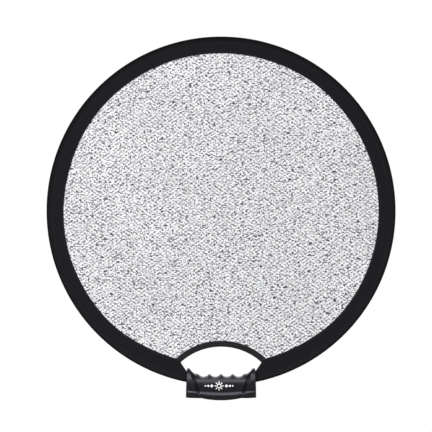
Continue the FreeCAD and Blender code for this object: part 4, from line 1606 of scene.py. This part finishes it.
    def hollow(self, x: float, z: float, skin: float) -> float:
        """How deep the shell's inside is at a place, from the parting plane.

        Args:
            x: place across the grip.
            z: height.
            skin: the shell's outer depth there.

        Returns:
            The depth of the hollow, or of the channel for the band and the rim.
        """
        reach = math.hypot(x, z - self.layout.centre_z / MM)
        radius = self.layout.radius / MM
        room = 0.0
        top = self.crest_z - self.groove - self.wall
        if abs(x) < self.half_width - self.cheek_thick and self.low + self.wall < z < top:
            room = max(0.0, skin - self.wall)
        if min(math.hypot(x - a, z - b) for a, b in self.screws) < self.boss:
            room = 0.0
        if abs(reach - (radius - 1.0)) < 0.7:
            room = max(room, self.band_room)
        past = abs(x) - self.rim_end_x - self.rim_end_slope * (z - self.rim_end_z)
        if past > -0.4 and self.rim_inner < reach < radius + 0.9:
            bead = smooth_step((reach - self.bead_foot) / self.bead_run) * self.bead_rise
            room = max(room, self.leaf_room + bead)
        return room

    def shell(self, half: Half, name: str, node: str) -> bpy.types.Object:
        """Build one shell: outline, moulded face, rounded edges and hollow inside.

        Args:
            half: which shell.
            name: its name.
            node: the CAD node that it stands for.

        Returns:
            The shell.
        """
        bm = bmesh.new()
        bmesh.ops.create_grid(bm, x_segments=self.columns, y_segments=self.rows, size=1.0)
        for vert in bm.verts:
            share = self.even_out(vert.co.x, 0.6)
            rise = (self.even_out(vert.co.y, 0.75) + 1.0) / 2
            x, z = self.place_in_outline(share, rise)
            vert.co = Vector((x, 0.0, z))
        tree = KDTree(sum(1 for edge in bm.edges if edge.is_boundary) * 4)
        count = 0
        for edge in bm.edges:
            if edge.is_boundary:
                first, second = (v.co for v in edge.verts)
                for i in range(4):
                    tree.insert(first.lerp(second, i / 4), count)
                    count += 1
        tree.balance()
        made = bmesh.ops.extrude_face_region(bm, geom=bm.faces[:])
        outside = {item for item in made["geom"] if isinstance(item, bmesh.types.BMVert)}
        depth_of = self.front_depth if half is Half.FRONT else self.back_depth
        for vert in bm.verts:
            x, z = vert.co.x, vert.co.z
            edge = tree.find(vert.co)[2]
            skin = self.rounded(depth_of(x, z), edge)
            if vert in outside:
                vert.co.y = half.value * skin
            else:
                vert.co.y = half.value * min(self.hollow(x, z, depth_of(x, z)), skin - 0.3)
        bmesh.ops.scale(bm, verts=bm.verts[:], vec=(MM, MM, MM))
        bmesh.ops.recalc_face_normals(bm, faces=bm.faces[:])
        piece = finished(name, bm, PLASTIC, 55.0)
        if half is Half.BACK:
            self.drill(piece)
        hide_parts(node)
        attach(piece, self.layout.lower)
        return piece

    def drill(self, piece: bpy.types.Object) -> None:
        """Sink the blind holes for the screw heads into the back.

        Args:
            piece: the back shell.
        """
        bm = bmesh.new()
        deep = self.bore_end - self.bore_floor
        for x, z in self.screws:
            place = Matrix.Translation((x * MM, (self.bore_floor + deep / 2) * MM, z * MM))
            bmesh.ops.create_cone(bm, segments=40, radius1=self.bore * MM,
                                  radius2=self.bore * MM, depth=deep * MM, cap_ends=True,
                                  matrix=place @ Matrix.Rotation(math.pi / 2, 4, "X"))
        bmesh.ops.recalc_face_normals(bm, faces=bm.faces[:])
        cutter = finished("bores", bm, PLASTIC)
        holes = piece.modifiers.new("holes", "BOOLEAN")
        holes.object = cutter
        holes.solver = "EXACT"
        seen = piece.evaluated_get(bpy.context.evaluated_depsgraph_get())
        drilled = bpy.data.meshes.new_from_object(seen)
        piece.modifiers.clear()
        plain, piece.data = piece.data, drilled
        bpy.data.meshes.remove(plain)
        bpy.data.meshes.remove(cutter.data)

    def even_out(self, value: float, share: float) -> float:
        """Crowd a grid's lines towards both its edges, for a value from -1 to 1."""
        return (1.0 - share) * value + share * math.sin(value * math.pi / 2)

    def place_in_outline(self, share: float, rise: float) -> tuple[float, float]:
        """Map a place in a square into the grip's outline.

        Args:
            share: from -1 at the left side to 1 at the right.
            rise: from 0 at the bottom to 1 at the top.

        Returns:
            Its x and z in millimetres.
        """
        top = self.shoulder_z
        for _ in range(12):
            top = 0.5 * top + 0.5 * self.top_at(share * self.side_at(top))
        low = self.low
        for _ in range(6):
            low = self.bottom_at(share * self.side_at(low + 0.05))
        z = low + (top - low) * rise
        return share * self.side_at(z), z

    def rounded(self, depth: float, edge: float) -> float:
        """Round the face over towards its outline.

        Args:
            depth: the face's own depth.
            edge: the distance from the outline.

        Returns:
            The depth with the edge rounded.
        """
        if edge >= self.round_edge:
            return depth
        off = self.round_edge - edge
        return depth - self.round_edge + math.sqrt(max(0.0, self.round_edge ** 2 - off * off))

    def mark(self) -> None:
        """Print a plain sun with eight rays, and three diamonds each side of it."""
        bm = bmesh.new()
        flat = Matrix.Rotation(math.pi / 2, 4, "X")
        for radius in (2.7, 4.2):
            bmesh.ops.create_circle(bm, segments=48, radius=radius, cap_ends=False, matrix=flat)
        bmesh.ops.bridge_loops(bm, edges=bm.edges[:])
        for turn in range(8):
            spoke = Matrix.Rotation(turn * math.tau / 8, 4, "Y")
            place = spoke @ Matrix.Translation((0.0, 0.0, 6.3)) @ flat
            bmesh.ops.create_grid(bm, x_segments=1, y_segments=3, size=0.5,
                                  matrix=place @ Matrix.Diagonal((1.6, 2.6, 1.0, 1.0)))
        quarter = Matrix.Rotation(math.pi / 4, 4, "Z")
        for side in (-1, 1):
            for across, size in ((12.5, 4.2), (18.5, 3.2), (23.2, 2.3)):
                place = Matrix.Translation((side * across, 0.0, 0.0)) @ flat @ quarter
                bmesh.ops.create_grid(bm, x_segments=3, y_segments=3, size=size / 2,
                                      matrix=place)
        made = bmesh.ops.extrude_face_region(bm, geom=bm.faces[:])
        outside = {item for item in made["geom"] if isinstance(item, bmesh.types.BMVert)}
        for vert in bm.verts:
            vert.co.z += self.mark_z
            vert.co.x += self.mark_x
            depth = self.front_depth(vert.co.x, vert.co.z)
            vert.co.y = -(depth + (0.08 if vert in outside else -0.2))
        bmesh.ops.scale(bm, verts=bm.verts[:], vec=(MM, MM, MM))
        bmesh.ops.recalc_face_normals(bm, faces=bm.faces[:])
        piece = finished("grip_mark", bm, INK, 40.0)
        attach(piece, self.layout.lower)

    def build(self) -> None:
        """Build both shells and the mark."""
        self.shell(Half.FRONT, "grip_front", "grip_front_shell")
        self.shell(Half.BACK, "grip_back", "grip_back_shell")
        self.mark()


# ------------------------------------------------------------------------------------ studio


@dataclass
class Studio:
    """A plain pale floor, soft lights and the camera."""

    centre: Vector
    eye: tuple[float, float, float] = (-0.0087, -3.095, 0.2965)
    focal: float = 150.0
    sensor: float = 36.0
    far: float = 50.0
    floor_drop: float = 0.32
    floor_half: float = 1.9
    lamps: tuple[tuple[str, tuple[float, float, float], float, float], ...] = (
        ("key", (-1.25, -1.25, 1.3), 0.9, 17.5), ("fill", (1.6, -1.9, 1.2), 1.3, 3.0),
        ("back", (0.6, 2.2, 1.9), 1.2, 9.0))

    def world(self) -> None:
        """A white studio: white behind, and softly shaded all round for the light."""
        world = bpy.data.worlds.new("studio")
        bpy.context.scene.world = world
        world.use_nodes = True
        graph = Graph(world.node_tree)
        sink = graph.add("OutputWorld")
        way = graph.add("SeparateXYZ")
        graph.feed(way.inputs[0], graph.add("TexCoord").outputs["Generated"])
        low = graph.ramp(way.outputs[2], -0.3, 0.3, 0.10, 0.36)
        high = graph.math("MULTIPLY", graph.ramp(way.outputs[2], 0.42, 0.68, 0.0, 3.8),
                          graph.ramp(way.outputs[2], 0.98, 0.88, 0.25, 1.0))
        side = graph.ramp(way.outputs[0], -0.9, 0.9, 1.12, 0.88)
        level = graph.math("MULTIPLY", graph.math("ADD", low, high), side)
        soft = graph.add("Background")
        soft.inputs["Color"].default_value = (1.0, 1.0, 1.0, 1.0)
        graph.feed(soft.inputs["Strength"], level)
        behind = graph.add("Background")
        behind.inputs["Color"].default_value = (1.0, 1.0, 1.0, 1.0)
        pick = graph.add("MixShader")
        graph.feed(pick.inputs[0], graph.add("LightPath").outputs["Is Camera Ray"])
        graph.feed(pick.inputs[1], soft.outputs[0])
        graph.feed(pick.inputs[2], behind.outputs[0])
        graph.feed(sink.inputs["Surface"], pick.outputs[0])

    def light(self, name: str, place: tuple[float, float, float], width: float,
              power: float) -> None:
        """Hang a square soft light that faces the object.

        Args:
            name: the light's name.
            place: where it hangs.
            width: its side.
            power: its watts.
        """
        data = bpy.data.lights.new(name, "AREA")
        data.shape = "SQUARE"
        data.size = width
        data.energy = power
        lamp = bpy.data.objects.new(name, data)
        lamp.location = place
        lamp.rotation_euler = (self.centre - Vector(place)).to_track_quat("-Z", "Y").to_euler()
        bpy.context.scene.collection.objects.link(lamp)

    def floor(self) -> None:
        """Lay the floor, below the view of the main camera."""
        bm = bmesh.new()
        bmesh.ops.create_grid(bm, x_segments=8, y_segments=8, size=self.floor_half)
        bmesh.ops.translate(bm, verts=bm.verts[:], vec=(0.0, 0.0, -self.floor_drop))
        mesh = bpy.data.meshes.new("floor")
        bm.to_mesh(mesh)
        bm.free()
        mesh.materials.append(FLOOR.material())
        plane = bpy.data.objects.new("floor", mesh)
        bpy.context.scene.collection.objects.link(plane)

    def camera(self) -> None:
        """Set the camera square before the disc."""
        data = bpy.data.cameras.new("camera")
        data.lens = self.focal
        data.sensor_width = self.sensor
        data.clip_end = self.far
        camera = bpy.data.objects.new("camera", data)
        camera.location = self.eye
        camera.rotation_euler = (math.pi / 2, 0.0, 0.0)
        bpy.context.scene.collection.objects.link(camera)
        bpy.context.scene.camera = camera

    def build(self) -> None:
        """Set up the whole studio."""
        bpy.context.scene.view_settings.view_transform = "Standard"
        self.world()
        for name, place, width, power in self.lamps:
            self.light(name, place, width, power)
        self.floor()
        self.camera()


def dress_frame(frame: dict, finishes: dict[str, Finish]) -> None:
    """Give the CAD nodes that stay visible their finishes.

    Args:
        finishes: the finish of each such node, by the node's name.
    """
    for name, finish in finishes.items():
        node = frame["nodes"][name]
        for slot in node.material_slots:
            slot.material = finish.material()
        LOG.info("%s: %s", name, finish.name)


def main() -> None:
    """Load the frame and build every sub-assembly."""
    logging.basicConfig(level=logging.INFO, format="%(message)s")
    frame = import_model()
    layout = Layout()
    layout.read(frame)
    Studio(Vector((0.0, 0.0, layout.centre_z))).build()
    rim = Rim(layout)
    Hoop(layout).build()
    rim.build()
    Panels(layout, rim).build()
    Opening(layout, rim).build()
    Grip(layout).build()
    dress_frame(frame, {"grip_screws": BLACK_OXIDE, "hoop_ferrule": ZINC})


if __name__ == "__main__":
    main()
